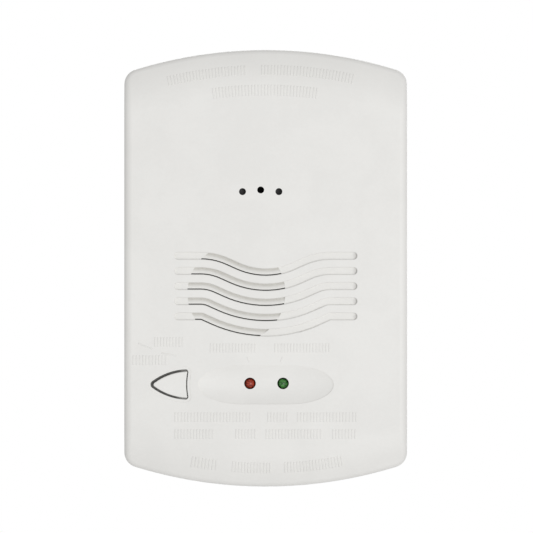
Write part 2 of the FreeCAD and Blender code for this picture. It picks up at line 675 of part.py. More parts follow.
def screw(x, z, y_seat, length, head_r, head):
    """A pan-head cross-recess screw driven towards -Y, its head's underside at y_seat."""
    pitch = THREAD_PITCH
    root = SCREW_R - THREAD_DEPTH
    top = y_seat + head
    crown = [(0, top), (head_r * 0.55, top - 0.06), (head_r * 0.85, top - 0.4), (head_r, top - 0.9)]
    shank = [(head_r, y_seat), (root, y_seat)]
    turns = int((length - 2.0) / pitch)
    y = y_seat - 0.4
    for _ in range(turns):
        shank += [(root, y), (SCREW_R, y - pitch * 0.4), (SCREW_R, y - pitch * 0.5), (root, y - pitch * 0.9)]
        y -= pitch
    shank += [(root, y - 0.1), (0.15, y_seat - length), (0, y_seat - length)]
    points = [V(r, yy, 0) for r, yy in crown + shank]
    face = Part.Face(Part.makePolygon(points + points[:1]))
    body = face.revolve(V(0, 0, 0), V(0, 1, 0), 360)
    wing = head_r * 0.55
    low = top - RECESS_DEPTH
    cross = [box(-wing, wing, low, top + 1, -RECESS_HALF, RECESS_HALF),
             box(-RECESS_HALF, RECESS_HALF, low, top + 1, -wing, wing)]
    body = body.cut(cross)
    body.translate(V(x, 0, z))
    return body


def cover_screws():
    """Four screws that hold the rear cover to the front cover's bosses."""
    return [screw(x, z, FLOOR_Y, 15.0, 2.75, 1.7) for x, z in cover_screw_places()]


def board_screws():
    """Four screws that hold the circuit board to its posts."""
    return [screw(x, z, BOARD_BACK_Y, 8.0, 2.5, 1.6) for x, z in board_screw_places()]


# ---------------------------------------------------------------- button and switch

STEM_END_Y = BOARD_Y - SWITCH_HEIGHT + PLUNGER_SINK - PLUNGER_LENGTH - PLUNGER_TOUCH


def test_button():
    """The triangular button with its flange and stem."""
    cap = prism(button_outline(BUTTON_GAP), FACE_Y, INNER_Y + BUTTON_PLAY + 0.5)
    cap = fillet(cap, BUTTON_EDGE_R, in_plane(FACE_Y))
    flange_y = INNER_Y + BUTTON_PLAY
    flange = prism(button_outline(BUTTON_GAP - BUTTON_FLANGE_WIDTH), flange_y, flange_y + BUTTON_FLANGE)
    for solid in (cap, flange):
        solid.translate(V(BUTTON_SHIFT[0], 0, BUTTON_SHIFT[1]))
    stem = rod(STEM_R, flange_y + 0.3, STEM_END_Y, SWITCH_X, BUTTON_Z)
    return fused([cap, flange, stem])


def switch_plunger():
    """The round plunger that the button's stem pushes."""
    front = BOARD_Y - SWITCH_HEIGHT + PLUNGER_SINK - PLUNGER_LENGTH
    solid = rod(PLUNGER_R, front, front + PLUNGER_LENGTH, SWITCH_X, BUTTON_Z)
    return fillet(solid, 0.25, in_plane(front))


def peg_places():
    """Centres of the rivets that hold the switch's cover."""
    return [(SWITCH_X + sx * SWITCH_PEG, BUTTON_Z + sz * SWITCH_PEG) for sx in (-1, 1) for sz in (-1, 1)]


def switch_body():
    """The switch's moulded base with the well that the plunger moves in."""
    half = SWITCH_SIDE / 2
    front = BOARD_Y - SWITCH_HEIGHT
    solid = rounded_box(SWITCH_X - half, SWITCH_X + half, BOARD_Y, front + SWITCH_COVER,
                        BUTTON_Z - half, BUTTON_Z + half, 0.5)
    well = rod(PLUNGER_R + 0.3, front - 1, front + PLUNGER_SINK + BUTTON_TRAVEL + 0.3, SWITCH_X, BUTTON_Z)
    return solid.cut([well] + [rod(SWITCH_PEG_R, front, front + 1, x, z) for x, z in peg_places()])


def switch_cover():
    """The pressed steel cover over the switch, with its four rivet heads."""
    half = SWITCH_SIDE / 2 - 0.1
    front = BOARD_Y - SWITCH_HEIGHT
    plate = rounded_box(SWITCH_X - half, SWITCH_X + half, front, front + SWITCH_COVER,
                        BUTTON_Z - half, BUTTON_Z + half, 0.6)
    heads = [rod(SWITCH_PEG_HEAD_R, front - 0.2, front + 0.1, x, z) for x, z in peg_places()]
    plate = fused([plate] + heads)
    return plate.cut(rod(PLUNGER_R + PLUNGER_FIT, front - 1, front + 1, SWITCH_X, BUTTON_Z))


def switch_leads():
    """Four legs from the switch's sides through the board."""
    half = SWITCH_SIDE / 2
    leads = []
    for sx in (-1, 1):
        for sz in (-1, 1):
            x = SWITCH_X + sx * (half + 0.25)
            z = BUTTON_Z + sz * SWITCH_LEG
            leads.append(box(x - 0.2, x + 0.2, BOARD_Y - 1.2, BOARD_BACK_Y + LEAD_OUT, z - 0.35, z + 0.35))
    return leads


# ---------------------------------------------------------------- lamps

LAMP_TIP_Y = FACE_Y + DISH_DEPTH - LAMP_SINK
LAMP_BASE_Y = LAMP_TIP_Y + LAMP_LENGTH


def lead_places(x):
    """Centres of the two leads of a lamp."""
    return [x - LEAD_X, x + LEAD_X]


def lamp_lens(x):
    """A 3 mm lamp: flange, body and domed tip, with sockets for its leads."""
    dome_y = LAMP_TIP_Y + LAMP_R
    body = rod(LAMP_R, LAMP_BASE_Y, dome_y, x, LAMP_Z)
    dome = Part.makeSphere(LAMP_R, V(x, dome_y, LAMP_Z))
    flange = rod(LAMP_FLANGE_R, LAMP_BASE_Y, LAMP_BASE_Y - LAMP_FLANGE, x, LAMP_Z)
    flange = flange.cut(box(x + LAMP_R, x + 3, LAMP_BASE_Y + 1, LAMP_BASE_Y - 2, LAMP_Z - 3, LAMP_Z + 3))
    solid = fused([body, dome, flange])
    half = LEAD / 2
    sockets = [box(cx - half, cx + half, LAMP_BASE_Y + 1, LAMP_BASE_Y - LEAD_IN, LAMP_Z - half, LAMP_Z + half)
               for cx in lead_places(x)]
    return solid.cut(sockets)


def lamp_leads():
    """Two square leads for each lamp, from inside the lens to behind the board."""
    half = LEAD / 2
    leads = []
    for x in (ALARM_LAMP_X, POWER_LAMP_X):
        for cx in lead_places(x):
            leads.append(box(cx - half, cx + half, LAMP_BASE_Y - LEAD_IN, BOARD_BACK_Y + LEAD_OUT,
                             LAMP_Z - half, LAMP_Z + half))
    return leads


def lamp_spacers():
    """Moulded sleeves that hold the lamps above the board."""
    spacers = []
    half = LEAD / 2 + LEAD_GAP
    for x in (ALARM_LAMP_X, POWER_LAMP_X):
        sleeve = rod(SPACER_R, BOARD_Y, LAMP_BASE_Y, x, LAMP_Z)
        bores = [box(cx - half, cx + half, BOARD_Y + 1, LAMP_BASE_Y - 1, LAMP_Z - half, LAMP_Z + half)
                 for cx in lead_places(x)]
        spacers.append(sleeve.cut(bores))
    return spacers


# ---------------------------------------------------------------- gas cell

CELL_FRONT_Y = BOARD_Y - CELL_HEIGHT


def cell_can():
    """The cell's cup, open at the front."""
    cup = rod(CELL_R, BOARD_Y, CELL_FRONT_Y, CELL_X, CELL_Z)
    cup = fillet(cup, 0.5, in_plane(BOARD_Y))
    bead = rod(CELL_R - CELL_WALL, BOARD_Y - 1.0, CELL_FRONT_Y - 1, CELL_X, CELL_Z)
    return cup.cut(bead)


def cell_cap():
    """The stepped cap with the hole that the gas enters by."""
    fit = 0.05
    plug = rod(CELL_R - CELL_WALL - fit, CELL_FRONT_Y + 1.6, CELL_FRONT_Y, CELL_X, CELL_Z)
    step = rod(CELL_CAP_R, CELL_FRONT_Y + 0.5, CELL_FRONT_Y - CELL_CAP, CELL_X, CELL_Z)
    solid = fused([plug, step])
    solid = fillet(solid, 0.3, in_plane(CELL_FRONT_Y - CELL_CAP))
    return solid.cut(rod(CELL_CAP_HOLE_R, CELL_FRONT_Y + 3, CELL_FRONT_Y - 3, CELL_X, CELL_Z))


def cell_filter():
    """The charcoal disc behind the cap."""
    back = CELL_FRONT_Y + 1.6
    return rod(CELL_R - CELL_WALL - 0.2, back, back + CELL_FILTER, CELL_X, CELL_Z)


def cell_tabs():
    """Three solder tabs from the cell through the board."""
    tabs = []
    for dx, dz in ((-5.0, -4.0), (5.0, -4.0), (0.0, 1.5)):
        x = CELL_X + dx
        z = CELL_Z + dz
        tabs.append(box(x - 0.5, x + 0.5, BOARD_Y, BOARD_BACK_Y + LEAD_OUT, z - 0.2, z + 0.2))
    return tabs


def sensor_gasket():
    """The soft ring that seals the cell to the face behind the gas holes."""
    return tube(GASKET_R, GASKET_BORE_R, CELL_FRONT_Y - CELL_CAP, INNER_Y, CELL_X, CELL_Z)


# ---------------------------------------------------------------- sounder

SOUNDER_FRONT_Y = BOARD_Y - SOUNDER_HEIGHT
PIEZO_Y = BOARD_Y - PIEZO_HEIGHT


def sounder_housing():
    """The sounder's cup with a ledge for the disc."""
    cup = rod(SOUNDER_R, BOARD_Y, SOUNDER_FRONT_Y, LOUVRE_X, LOUVRE_Z)
    cup = fillet(cup, 0.6, in_plane(BOARD_Y))
    lower = rod(PIEZO_R - 1.2, BOARD_Y - 1.5, SOUNDER_FRONT_Y - 1, LOUVRE_X, LOUVRE_Z)
    upper = rod(SOUNDER_R - SOUNDER_WALL, PIEZO_Y, SOUNDER_FRONT_Y - 1, LOUVRE_X, LOUVRE_Z)
    return cup.cut([lower, upper])


def sounder_lid():
    """The lid with its sound port."""
    lid = rod(SOUNDER_R, SOUNDER_FRONT_Y, SOUNDER_FRONT_Y - SOUNDER_LID, LOUVRE_X, LOUVRE_Z)
    lid = fillet(lid, 0.4, in_plane(SOUNDER_FRONT_Y - SOUNDER_LID))
    port = rod(SOUNDER_PORT_R, SOUNDER_FRONT_Y + 1, SOUNDER_FRONT_Y - 3, LOUVRE_X, LOUVRE_Z)
    return lid.cut(port)


def sounder_gasket():
    """The foam ring between the sounder and the grille."""
    return tube(SEAL_R, SEAL_BORE_R, SOUNDER_FRONT_Y - SOUNDER_LID, INNER_Y, LOUVRE_X, LOUVRE_Z)


def piezo_disc():
    """The brass disc on the ledge."""
    return rod(PIEZO_R, PIEZO_Y, PIEZO_Y - PIEZO, LOUVRE_X, LOUVRE_Z)


def piezo_ceramic():
    """The ceramic disc bonded to the brass."""
    front = PIEZO_Y - PIEZO
    return rod(CERAMIC_R, front, front - CERAMIC, LOUVRE_X, LOUVRE_Z)


def sounder_pins():
    """Three pins through the board."""
    places = [polar((LOUVRE_X, LOUVRE_Z), 10.0, math.radians(a)) for a in (90, 210, 330)]
    return [rod(0.45, BOARD_Y, BOARD_BACK_Y + LEAD_OUT, x, z) for x, z in places]


# ---------------------------------------------------------------- terminals

TERMINAL_Y = BOARD_BACK_Y + TERMINAL_HEIGHT
SCREW_Z = TERMINAL_Z + TERMINAL_SCREW_UP


def pole_places():
    """Centre of each pole along X."""
    first = -(POLES - 1) * POLE_PITCH / 2
    return [first + i * POLE_PITCH for i in range(POLES)]


def terminal_block():
    """The block with a screw well and a wire entry for each pole."""
    solid = box(-TERMINAL_HALF, TERMINAL_HALF, BOARD_BACK_Y, TERMINAL_Y, TERMINAL_LOW, TERMINAL_TOP)
    solid = fillet(solid, 0.4, in_plane(TERMINAL_Y))
    cuts = []
    for x in pole_places():
        cuts.append(rod(TERMINAL_SCREW_R + 0.3, TERMINAL_Y + 1, TERMINAL_Y - CLAMP_DEPTH - 0.1, x, SCREW_Z))
        cuts.append(box(x - CLAMP_HALF - 0.3, x + CLAMP_HALF + 0.3, TERMINAL_Y - CLAMP_DEPTH + 0.1,
                        TERMINAL_Y - CONTACT_DEPTH, TERMINAL_LOW - 1, SCREW_Z + CLAMP_TALL + 0.4))
    return solid.cut(cuts)


def terminal_screws():
    """Slotted clamp screws in the wells."""
    top = TERMINAL_Y - TERMINAL_SCREW_SINK
    screws = []
    for x in pole_places():
        head = rod(TERMINAL_SCREW_R, top, TERMINAL_Y - CLAMP_DEPTH + 0.2, x, SCREW_Z)
        head = fillet(head, 0.3, in_plane(top))
        shank = rod(CLAMP_BORE_R - 0.1, TERMINAL_Y - CLAMP_DEPTH + 0.3, TERMINAL_Y - CONTACT_DEPTH + 1.0,
                    x, SCREW_Z)
        slot = box(x - 3, x + 3, top - 0.7, TERMINAL_Y, SCREW_Z - 0.35, SCREW_Z + 0.35)
        screws.append(fused([head, shank]).cut(slot))
    return screws


def terminal_clamps():
    """Square wire clamps under the screw heads."""
    front = TERMINAL_Y - CLAMP_DEPTH
    clamps = []
    for x in pole_places():
        clamp = box(x - CLAMP_HALF, x + CLAMP_HALF, front, front - CLAMP,
                    SCREW_Z - CLAMP_TALL, SCREW_Z + CLAMP_TALL)
        clamps.append(clamp.cut(rod(CLAMP_BORE_R, TERMINAL_Y, front - 3, x, SCREW_Z)))
    return clamps


def terminal_pins():
    """Flat contacts below the clamps, each with a pin through the board."""
    back = TERMINAL_Y - CONTACT_DEPTH
    pins = []
    for x in pole_places():
        pins.append(box(x - CLAMP_HALF, x + CLAMP_HALF, back, back + CLAMP,
                        SCREW_Z - CLAMP_TALL, SCREW_Z + CLAMP_TALL))
        pins.append(rod(0.5, BOARD_BACK_Y, BOARD_Y - LEAD_OUT, x, TERMINAL_PIN_Z))
    return pins


# ---------------------------------------------------------------- board and its parts

def circuit_board():
    """The board, notched round the cover screw bosses and drilled for its screws and leads."""
    board = prism(outline(BOARD_INSET), BOARD_BACK_Y, BOARD_Y)
    low = BOARD_BACK_Y + 1
    high = BOARD_Y - 1
    cuts = [rod(BOSS_R + BOARD_NOTCH, low, high, x, z) for x, z in cover_screw_places()]
    cuts += [rod(SCREW_R + 0.15, low, high, x, z) for x, z in board_screw_places()]
    cuts += [rod(0.62, low, high, x, TERMINAL_PIN_Z) for x in pole_places()]
    for lead in lamp_leads() + switch_leads() + cell_tabs() + sounder_pins() + relay_pins() + header_pins():
        size = lead.BoundBox
        reach = math.hypot(size.XLength, size.ZLength) / 2 + LEAD_GAP
        cuts.append(rod(reach, low, high, size.Center.x, size.Center.z))
    return board.cut(cuts)


RELAY_X = 21.4
RELAY_Z = (8.0, -4.5)
RELAY_LENGTH = 19.0
RELAY_WIDTH = 10.0
RELAY_HEIGHT = 10.2


def relay(z):
    """A sealed relay case."""
    x0 = RELAY_X - RELAY_LENGTH / 2
    z0 = z - RELAY_WIDTH / 2
    case = box(x0, x0 + RELAY_LENGTH, BOARD_Y, BOARD_Y - RELAY_HEIGHT, z0, z0 + RELAY_WIDTH)
    return case.makeFillet(0.5, [e for e in case.Edges if e.BoundBox.YMax < BOARD_Y - 0.1])


def relay_pins():
    """Five pins under each relay."""
    pins = []
    for z in RELAY_Z:
        for dx, dz in ((-8, -3.8), (-8, 3.8), (0, 3.8), (8, -3.8), (8, 3.8)):
            pins.append(rod(0.4, BOARD_Y, BOARD_BACK_Y + LEAD_OUT, RELAY_X + dx, z + dz))
    return pins


CAPACITORS = ((17.0, 26.0, 4.0, 12.0), (27.0, 23.0, 3.15, 11.0), (27.5, 41.0, 2.5, 9.0))


def capacitor_sleeves():
    """Sleeved bodies of the electrolytic capacitors, open at the front end."""
    bodies = []
    for x, z, radius, height in CAPACITORS:
        body = rod(radius, BOARD_Y, BOARD_Y - height, x, z)
        body = fillet(body, 0.5, in_plane(BOARD_Y - height))
        bodies.append(body.cut(rod(radius - 0.7, BOARD_Y - height + 0.35, BOARD_Y - height - 1, x, z)))
    return bodies


def capacitor_tops():
    """Bare scored can tops inside the sleeves."""
    tops = []
    for x, z, radius, height in CAPACITORS:
        front = BOARD_Y - height + 0.35
        top = rod(radius - 0.72, front, front - 0.25, x, z)
        score = [box(x - radius, x + radius, front - 0.15, front - 1, z - 0.12, z + 0.12),
                 box(x - 0.12, x + 0.12, front - 0.15, front - 1, z - radius, z + radius)]
        tops.append(top.cut(score))
    return tops


COIL_X = -21.0
COIL_Z = 24.0
COIL_R = 4.5
COIL_HEIGHT = 8.0


def coil_core():
    """The ferrite bobbin of the sounder's step-up coil."""
    low = rod(COIL_R, BOARD_Y, BOARD_Y - 1.2, COIL_X, COIL_Z)
    post = rod(1.8, BOARD_Y, BOARD_Y - COIL_HEIGHT, COIL_X, COIL_Z)
    high = rod(COIL_R, BOARD_Y - COIL_HEIGHT + 1.2, BOARD_Y - COIL_HEIGHT, COIL_X, COIL_Z)
    return fused([low, post, high])


def coil_winding():
    """The copper winding between the bobbin's flanges."""
    gap = 0.02
    return tube(COIL_R - 0.6, 1.8 + gap, BOARD_Y - 1.2 - gap, BOARD_Y - COIL_HEIGHT + 1.2 + gap,
                COIL_X, COIL_Z)


CHIP_X = 20.0
CHIP_Z = -21.0
CHIP_SIDE = 7.0
CHIP_LEADS = 8


def microcontroller():
    """The controller's moulded body."""
    half = CHIP_SIDE / 2
    body = box(CHIP_X - half, CHIP_X + half, BOARD_Y - 0.15, BOARD_Y - 1.55, CHIP_Z - half, CHIP_Z + half)
    body = body.makeChamfer(0.25, [e for e in body.Edges if in_plane(BOARD_Y - 1.55)(e)])
    return body.cut(rod(0.45, BOARD_Y - 1.4, BOARD_Y - 2, CHIP_X - half + 1.1, CHIP_Z + half - 1.1))


def microcontroller_leads():
    """Bent leads along the four sides of the controller."""
    half = CHIP_SIDE / 2
    first = -(CHIP_LEADS - 1) * 0.4
    leads = []
    for i in range(CHIP_LEADS):
        along = first + i * 0.8
        for turn in range(4):
            lead = fused([
                box(half, half + 0.55, BOARD_Y - 0.7, BOARD_Y - 0.88, along - 0.17, along + 0.17),
                box(half + 0.37, half + 0.55, BOARD_Y, BOARD_Y - 0.88, along - 0.17, along + 0.17),
                box(half + 0.37, half + 1.0, BOARD_Y, BOARD_Y - 0.16, along - 0.17, along + 0.17),
            ])
            lead.rotate(V(0, 0, 0), V(0, 1, 0), 90 * turn)
            lead.translate(V(CHIP_X, 0, CHIP_Z))
            leads.append(lead)
    return leads


def transistors():
    """Half-round plastic transistors standing on the board."""
    radius = 2.4
    foot = BOARD_Y - 1.5
    half = 0.2
    bodies = []
    for x, z in ((-28.0, 12.0), (-28.0, 5.0), (-21.0, 36.0)):
        body = rod(radius, foot, foot - 4.7, x, z)
        bodies.append(body.cut(box(x + 1.4, x + 4, BOARD_Y, BOARD_Y - 9, z - 4, z + 4)))
        for pitch in (-1.27, 0, 1.27):
            bodies.append(box(x - half, x + half, foot, BOARD_Y, z + pitch - half, z + pitch + half))
    return bodies


def diodes():
    """Glass diodes lying on the board, each with its band end on the right."""
    bodies = []
    for z in (-44.0, -48.0, -52.0):
        for x in (10.0, 20.0):
            body = Part.makeCylinder(0.85, 3.6, V(x - 1.8, BOARD_Y - 0.85, z), V(1, 0, 0))
            bodies.append(body)
    return bodies


def chip_row(x, z, count, pitch, length, width, height):
    """A row of surface-mount chips, one above the other."""
    return [box(x - length / 2, x + length / 2, BOARD_Y, BOARD_Y - height,
                z + i * pitch - width / 2, z + i * pitch + width / 2) for i in range(count)]


def chip_resistors():
    """Rows of chip resistors."""
    rows = [(30.0, -27.0, 4), (11.0, -30.5, 3), (-14.0, 40.0, 4), (34.0, 12.5, 4)]
    return [chip for x, z, n in rows for chip in chip_row(x, z, n, 2.4, 3.2, 1.6, 0.55)]


def chip_capacitors():
    """Rows of chip capacitors."""
    rows = [(24.0, -42.0, 5), (-6.0, 40.0, 4), (15.5, -30.5, 3)]
    return [chip for x, z, n in rows for chip in chip_row(x, z, n, 2.4, 2.0, 1.25, 1.0)]


CRYSTAL_X = 30.5
CRYSTAL_Z = -41.0
CRYSTAL_R = 2.3
CRYSTAL_LENGTH = 10.5
CRYSTAL_HEIGHT = 3.4


def crystal():
    """The low-profile clock crystal."""
    top = BOARD_Y - CRYSTAL_HEIGHT
    can = rounded_box(CRYSTAL_X - CRYSTAL_R, CRYSTAL_X + CRYSTAL_R, BOARD_Y, top,
                      CRYSTAL_Z - CRYSTAL_LENGTH / 2, CRYSTAL_Z + CRYSTAL_LENGTH / 2, CRYSTAL_R - 0.1)
    return fillet(can, 0.5, in_plane(top))


HEADER_X = -12.0
HEADER_Z = -47.0


def header_places():
    """Centres of the test header's six pins."""
    return [(HEADER_X + i * 2.54, HEADER_Z + j * 2.54) for i in range(3) for j in range(2)]


def test_header():
    """The header's moulded base."""
    x1 = HEADER_X + 2 * 2.54
    z1 = HEADER_Z + 2.54
    base = box(HEADER_X - 1.27, x1 + 1.27, BOARD_Y, BOARD_Y - 2.5, HEADER_Z - 1.27, z1 + 1.27)
    return base.cut([rod(0.5, BOARD_Y + 1, BOARD_Y - 4, x, z) for x, z in header_places()])


def header_pins():
    """The header's six square pins."""
    return [box(x - 0.32, x + 0.32, BOARD_BACK_Y + LEAD_OUT, BOARD_Y - 8.0, z - 0.32, z + 0.32)
            for x, z in header_places()]


# ---------------------------------------------------------------- nodes

os.makedirs("parts", exist_ok=True)
export("mounting_plate", mounting_plate())
export("rear_cover", rear_cover())
export("front_cover", front_cover())
export("cover_screws", *cover_screws())
export("board_screws", *board_screws())
export("test_button", test_button())
export("switch_plunger", switch_plunger())
export("switch_body", switch_body())
export("switch_cover", switch_cover())
export("switch_leads", *switch_leads())
export("alarm_lamp", lamp_lens(ALARM_LAMP_X))
export("power_lamp", lamp_lens(POWER_LAMP_X))
export("lamp_leads", *lamp_leads())
export("lamp_spacers", *lamp_spacers())
export("co_cell_can", cell_can())
export("co_cell_cap", cell_cap())
export("co_cell_filter", cell_filter())
export("co_cell_tabs", *cell_tabs())
export("sensor_gasket", sensor_gasket())
export("sounder_housing", sounder_housing())
export("sounder_lid", sounder_lid())
export("sounder_gasket", sounder_gasket())
export("piezo_disc", piezo_disc())
export("piezo_ceramic", piezo_ceramic())
export("sounder_pins", *sounder_pins())
export("terminal_block", terminal_block())
export("terminal_screws", *terminal_screws())
export("terminal_clamps", *terminal_clamps())
export("terminal_pins", *terminal_pins())
export("circuit_board", circuit_board())
export("alarm_relay", relay(RELAY_Z[0]))
export("trouble_relay", relay(RELAY_Z[1]))
export("relay_pins", *relay_pins())
export("capacitor_sleeves", *capacitor_sleeves())
export("capacitor_tops", *capacitor_tops())
export("coil_core", coil_core())
export("coil_winding", coil_winding())
export("microcontroller", microcontroller())
export("microcontroller_leads", *microcontroller_leads())
export("transistors", *transistors())
export("diodes", *diodes())
export("chip_resistors", *chip_resistors())
export("chip_capacitors", *chip_capacitors())
export("crystal", crystal())
export("test_header", test_header())
export("header_pins", *header_pins())
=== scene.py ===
"""Finishes, small modelled pieces and studio for a wall-mounted carbon monoxide detector.

The shape of every moving or load-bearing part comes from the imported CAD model. This script dresses
those parts, adds the raised marks on the face, the solder, the coil's turns and the insides of the
lamps, and sets up a plain studio. Lengths in the classes are millimetres, as on a maker's drawing.
"""
import logging
import math
from dataclasses import dataclass
from enum import Enum
from typing import Callable, Iterable, Sequence

import bmesh
import bpy
from mathutils import Matrix, Vector


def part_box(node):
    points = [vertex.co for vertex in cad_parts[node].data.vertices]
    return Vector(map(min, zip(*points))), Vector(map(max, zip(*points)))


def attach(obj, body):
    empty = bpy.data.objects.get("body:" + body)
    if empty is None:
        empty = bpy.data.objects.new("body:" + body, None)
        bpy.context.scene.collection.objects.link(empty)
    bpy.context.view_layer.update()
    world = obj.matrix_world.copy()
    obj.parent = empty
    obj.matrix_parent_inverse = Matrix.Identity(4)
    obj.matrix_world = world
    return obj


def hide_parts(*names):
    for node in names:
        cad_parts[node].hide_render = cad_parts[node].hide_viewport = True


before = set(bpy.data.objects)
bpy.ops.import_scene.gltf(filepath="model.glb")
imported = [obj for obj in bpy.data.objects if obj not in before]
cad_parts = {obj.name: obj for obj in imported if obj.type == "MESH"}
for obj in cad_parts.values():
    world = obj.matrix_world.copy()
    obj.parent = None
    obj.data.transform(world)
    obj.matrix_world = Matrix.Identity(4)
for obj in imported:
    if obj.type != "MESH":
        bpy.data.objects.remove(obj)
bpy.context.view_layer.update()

LOG = logging.getLogger("detector")
MM = 0.001

Colour = tuple[float, float, float, float]
Point = tuple[float, float, float]
Socket = bpy.types.NodeSocket


def paint(red: int, green: int, blue: int) -> Colour:
    """Turns a colour from a paint chart, 0 to 255 a channel, into a shader's linear colour."""
    linear = [(c / 255 / 12.92) if c <= 10 else ((c / 255 + 0.055) / 1.055) ** 2.4
              for c in (red, green, blue)]
    return (*linear, 1.0)


class Slot(Enum):
    """Names of material slots, one given with each new piece."""

    HOUSING = "white_housing"
    STEEL = "tinned_steel"
    COPPER = "copper_wire"


class Body(Enum):
    """The bodies that new pieces ride on."""

    DETECTOR = "detector"


class Lay(Enum):
    """Which way the fine lines of a metal run."""

    NONE = (1.0, 1.0, 1.0)
    ALONG_X = (0.03, 1.0, 1.0)
    ALONG_Y = (1.0, 0.03, 1.0)
    ALONG_Z = (1.0, 1.0, 0.03)


class Curve(Enum):
    """How a row of raised bars runs across the face."""

    STRAIGHT = 0
    UPPER_END = 1
    LOWER_END = -1


# ---------------------------------------------------------------------------------------------
# Node trees
# ---------------------------------------------------------------------------------------------


class Graph:
    """One material's node tree, built up a node at a time from the piece's own coordinates."""

    def __init__(self, name: str) -> None:
        """Starts a material with a Principled shader and the piece's Object coordinates.

        Args:
            name: the finish's name.
        """
        self.material = bpy.data.materials.new(name)
        self.material.use_nodes = True
        self.tree = self.material.node_tree
        self.shader = self.tree.nodes["Principled BSDF"]
        self.place = self.add("ShaderNodeTexCoord").outputs["Object"]

    def add(self, kind: str, settings: dict | None = None, **inputs: object) -> bpy.types.Node:
        """Adds a node.

        Args:
            kind: the node's type.
            settings: its own properties, by name.
            **inputs: its sockets by name, with _ for a space; a socket is linked and a value is set.

        Returns:
            The new node.
        """
        node = self.tree.nodes.new(kind)
        for key, value in (settings or {}).items():
            setattr(node, key, value)
        for key, value in inputs.items():
            self.feed(node.inputs[key.replace("_", " ")], value)
        return node

    def feed(self, socket: Socket, value: object) -> None:
        """Links a socket to another one, or sets its value."""
        if isinstance(value, bpy.types.NodeSocket):
            self.tree.links.new(value, socket)
        else:
            socket.default_value = value

    def set(self, **values: object) -> None:
        """Sets or links the shader's own sockets, named with _ for a space."""
        for key, value in values.items():
            self.feed(self.shader.inputs[key.replace("_", " ")], value)

    def stretched(self, stretch: Point, centre: Point = (0.0, 0.0, 0.0), turn: float = 0.0) -> Socket:
        """Coordinates moved to a centre, turned about Y and stretched.

        Args:
            stretch: scale along each axis.
            centre: the point in millimetres that becomes the origin.
            turn: degrees about Y.

        Returns:
            The vector socket.
        """
        moved = self.add("ShaderNodeMapping", {"vector_type": "POINT"}, Vector=self.place,
                         Location=tuple(-c * MM for c in centre))
        node = self.add("ShaderNodeMapping", {"vector_type": "POINT"}, Vector=moved.outputs[0],
                        Rotation=(0.0, math.radians(turn), 0.0), Scale=stretch)
        return node.outputs[0]

    def noise(self, size: float, detail: float = 3.0, rough: float = 0.55, twist: float = 0.0,
              vector: Socket | None = None) -> Socket:
        """Soft noise.

        Args:
            size: millimetres from one patch to the next.
            detail: how many finer layers it has.
            rough: how strong those are.
            twist: how far it is warped.
            vector: coordinates, or None for the piece's own.

        Returns:
            The value socket, about 0.25 to 0.75.
        """
        node = self.add("ShaderNodeTexNoise", None, Vector=vector or self.place, Scale=1 / (size * MM),
                        Detail=detail, Roughness=rough, Distortion=twist)
        return node.outputs[0]

    def cells(self, size: float, feature: str = "SMOOTH_F1", metric: str = "EUCLIDEAN",
              vector: Socket | None = None) -> Socket:
        """Distance to the nearest of scattered points.

        Args:
            size: millimetres from one cell to the next.
            feature: the Voronoi feature.
            metric: its distance metric.
            vector: coordinates, or None for the piece's own.

        Returns:
            The distance socket.
        """
        node = self.add("ShaderNodeTexVoronoi", {"feature": feature, "distance": metric},
                        Vector=vector or self.place, Scale=1 / (size * MM))
        return node.outputs["Distance"]

    def rings(self, pitch: float, centre: Point, warp: float = 0.4) -> Socket:
        """Turned rings about a line along Y.

        Args:
            pitch: millimetres from one ring to the next.
            centre: a point on the line.
            warp: how uneven the rings are.

        Returns:
            The value socket, 0 to 1.
        """
        node = self.add("ShaderNodeTexWave", {"wave_type": "RINGS", "rings_direction": "Y"},
                        Vector=self.stretched((1, 1, 1), centre), Scale=math.pi / 10 / (pitch * MM),
                        Distortion=warp, Detail=2.0)
        return node.outputs[1]

    def bands(self, pitch: float, axis: str, warp: float = 0.0) -> Socket:
        """Even bands across an axis.

        Args:
            pitch: millimetres from one band to the next.
            axis: X, Y, Z or DIAGONAL.
            warp: how uneven they are.

        Returns:
            The value socket, 0 to 1.
        """
        node = self.add("ShaderNodeTexWave", {"wave_type": "BANDS", "bands_direction": axis},
                        Vector=self.place, Scale=math.pi / 10 / (pitch * MM), Distortion=warp, Detail=2.0)
        return node.outputs[1]

    def math(self, operation: str, first: object, second: object = 0.0) -> Socket:
        """A sum on two values, each a socket or a number."""
        node = self.add("ShaderNodeMath", {"operation": operation})
        self.feed(node.inputs[0], first)
        self.feed(node.inputs[1], second)
        return node.outputs[0]

    def span(self, value: Socket, low: float, high: float, to_low: float, to_high: float) -> Socket:
        """Stretches a value from one range to another, held at its ends."""
        node = self.add("ShaderNodeMapRange", {"clamp": True}, Value=value, From_Min=low, From_Max=high,
                        To_Min=to_low, To_Max=to_high)
        return node.outputs[0]

    def ramp(self, value: Socket, stops: Sequence[tuple[float, Colour]]) -> Socket:
        """A colour for each value.

        Args:
            value: where to read the ramp.
            stops: places from 0 to 1 and their colours.

        Returns:
            The colour socket.
        """
        node = self.add("ShaderNodeValToRGB", None, Fac=value)
        line = node.color_ramp.elements
        while len(line) < len(stops):
            line.new(0.5)
        for stop, (place, colour) in zip(line, stops):
            stop.position = place
            stop.color = colour
        return node.outputs[0]

    def blend(self, amount: Socket, first: object, second: object) -> Socket:
        """A mix of two colours, each a socket or a colour, by an amount."""
        node = self.add("ShaderNodeMix", {"data_type": "RGBA"})
        self.feed(node.inputs["Factor"], amount)
        self.feed(node.inputs[6], first)
        self.feed(node.inputs[7], second)
        return node.outputs[2]

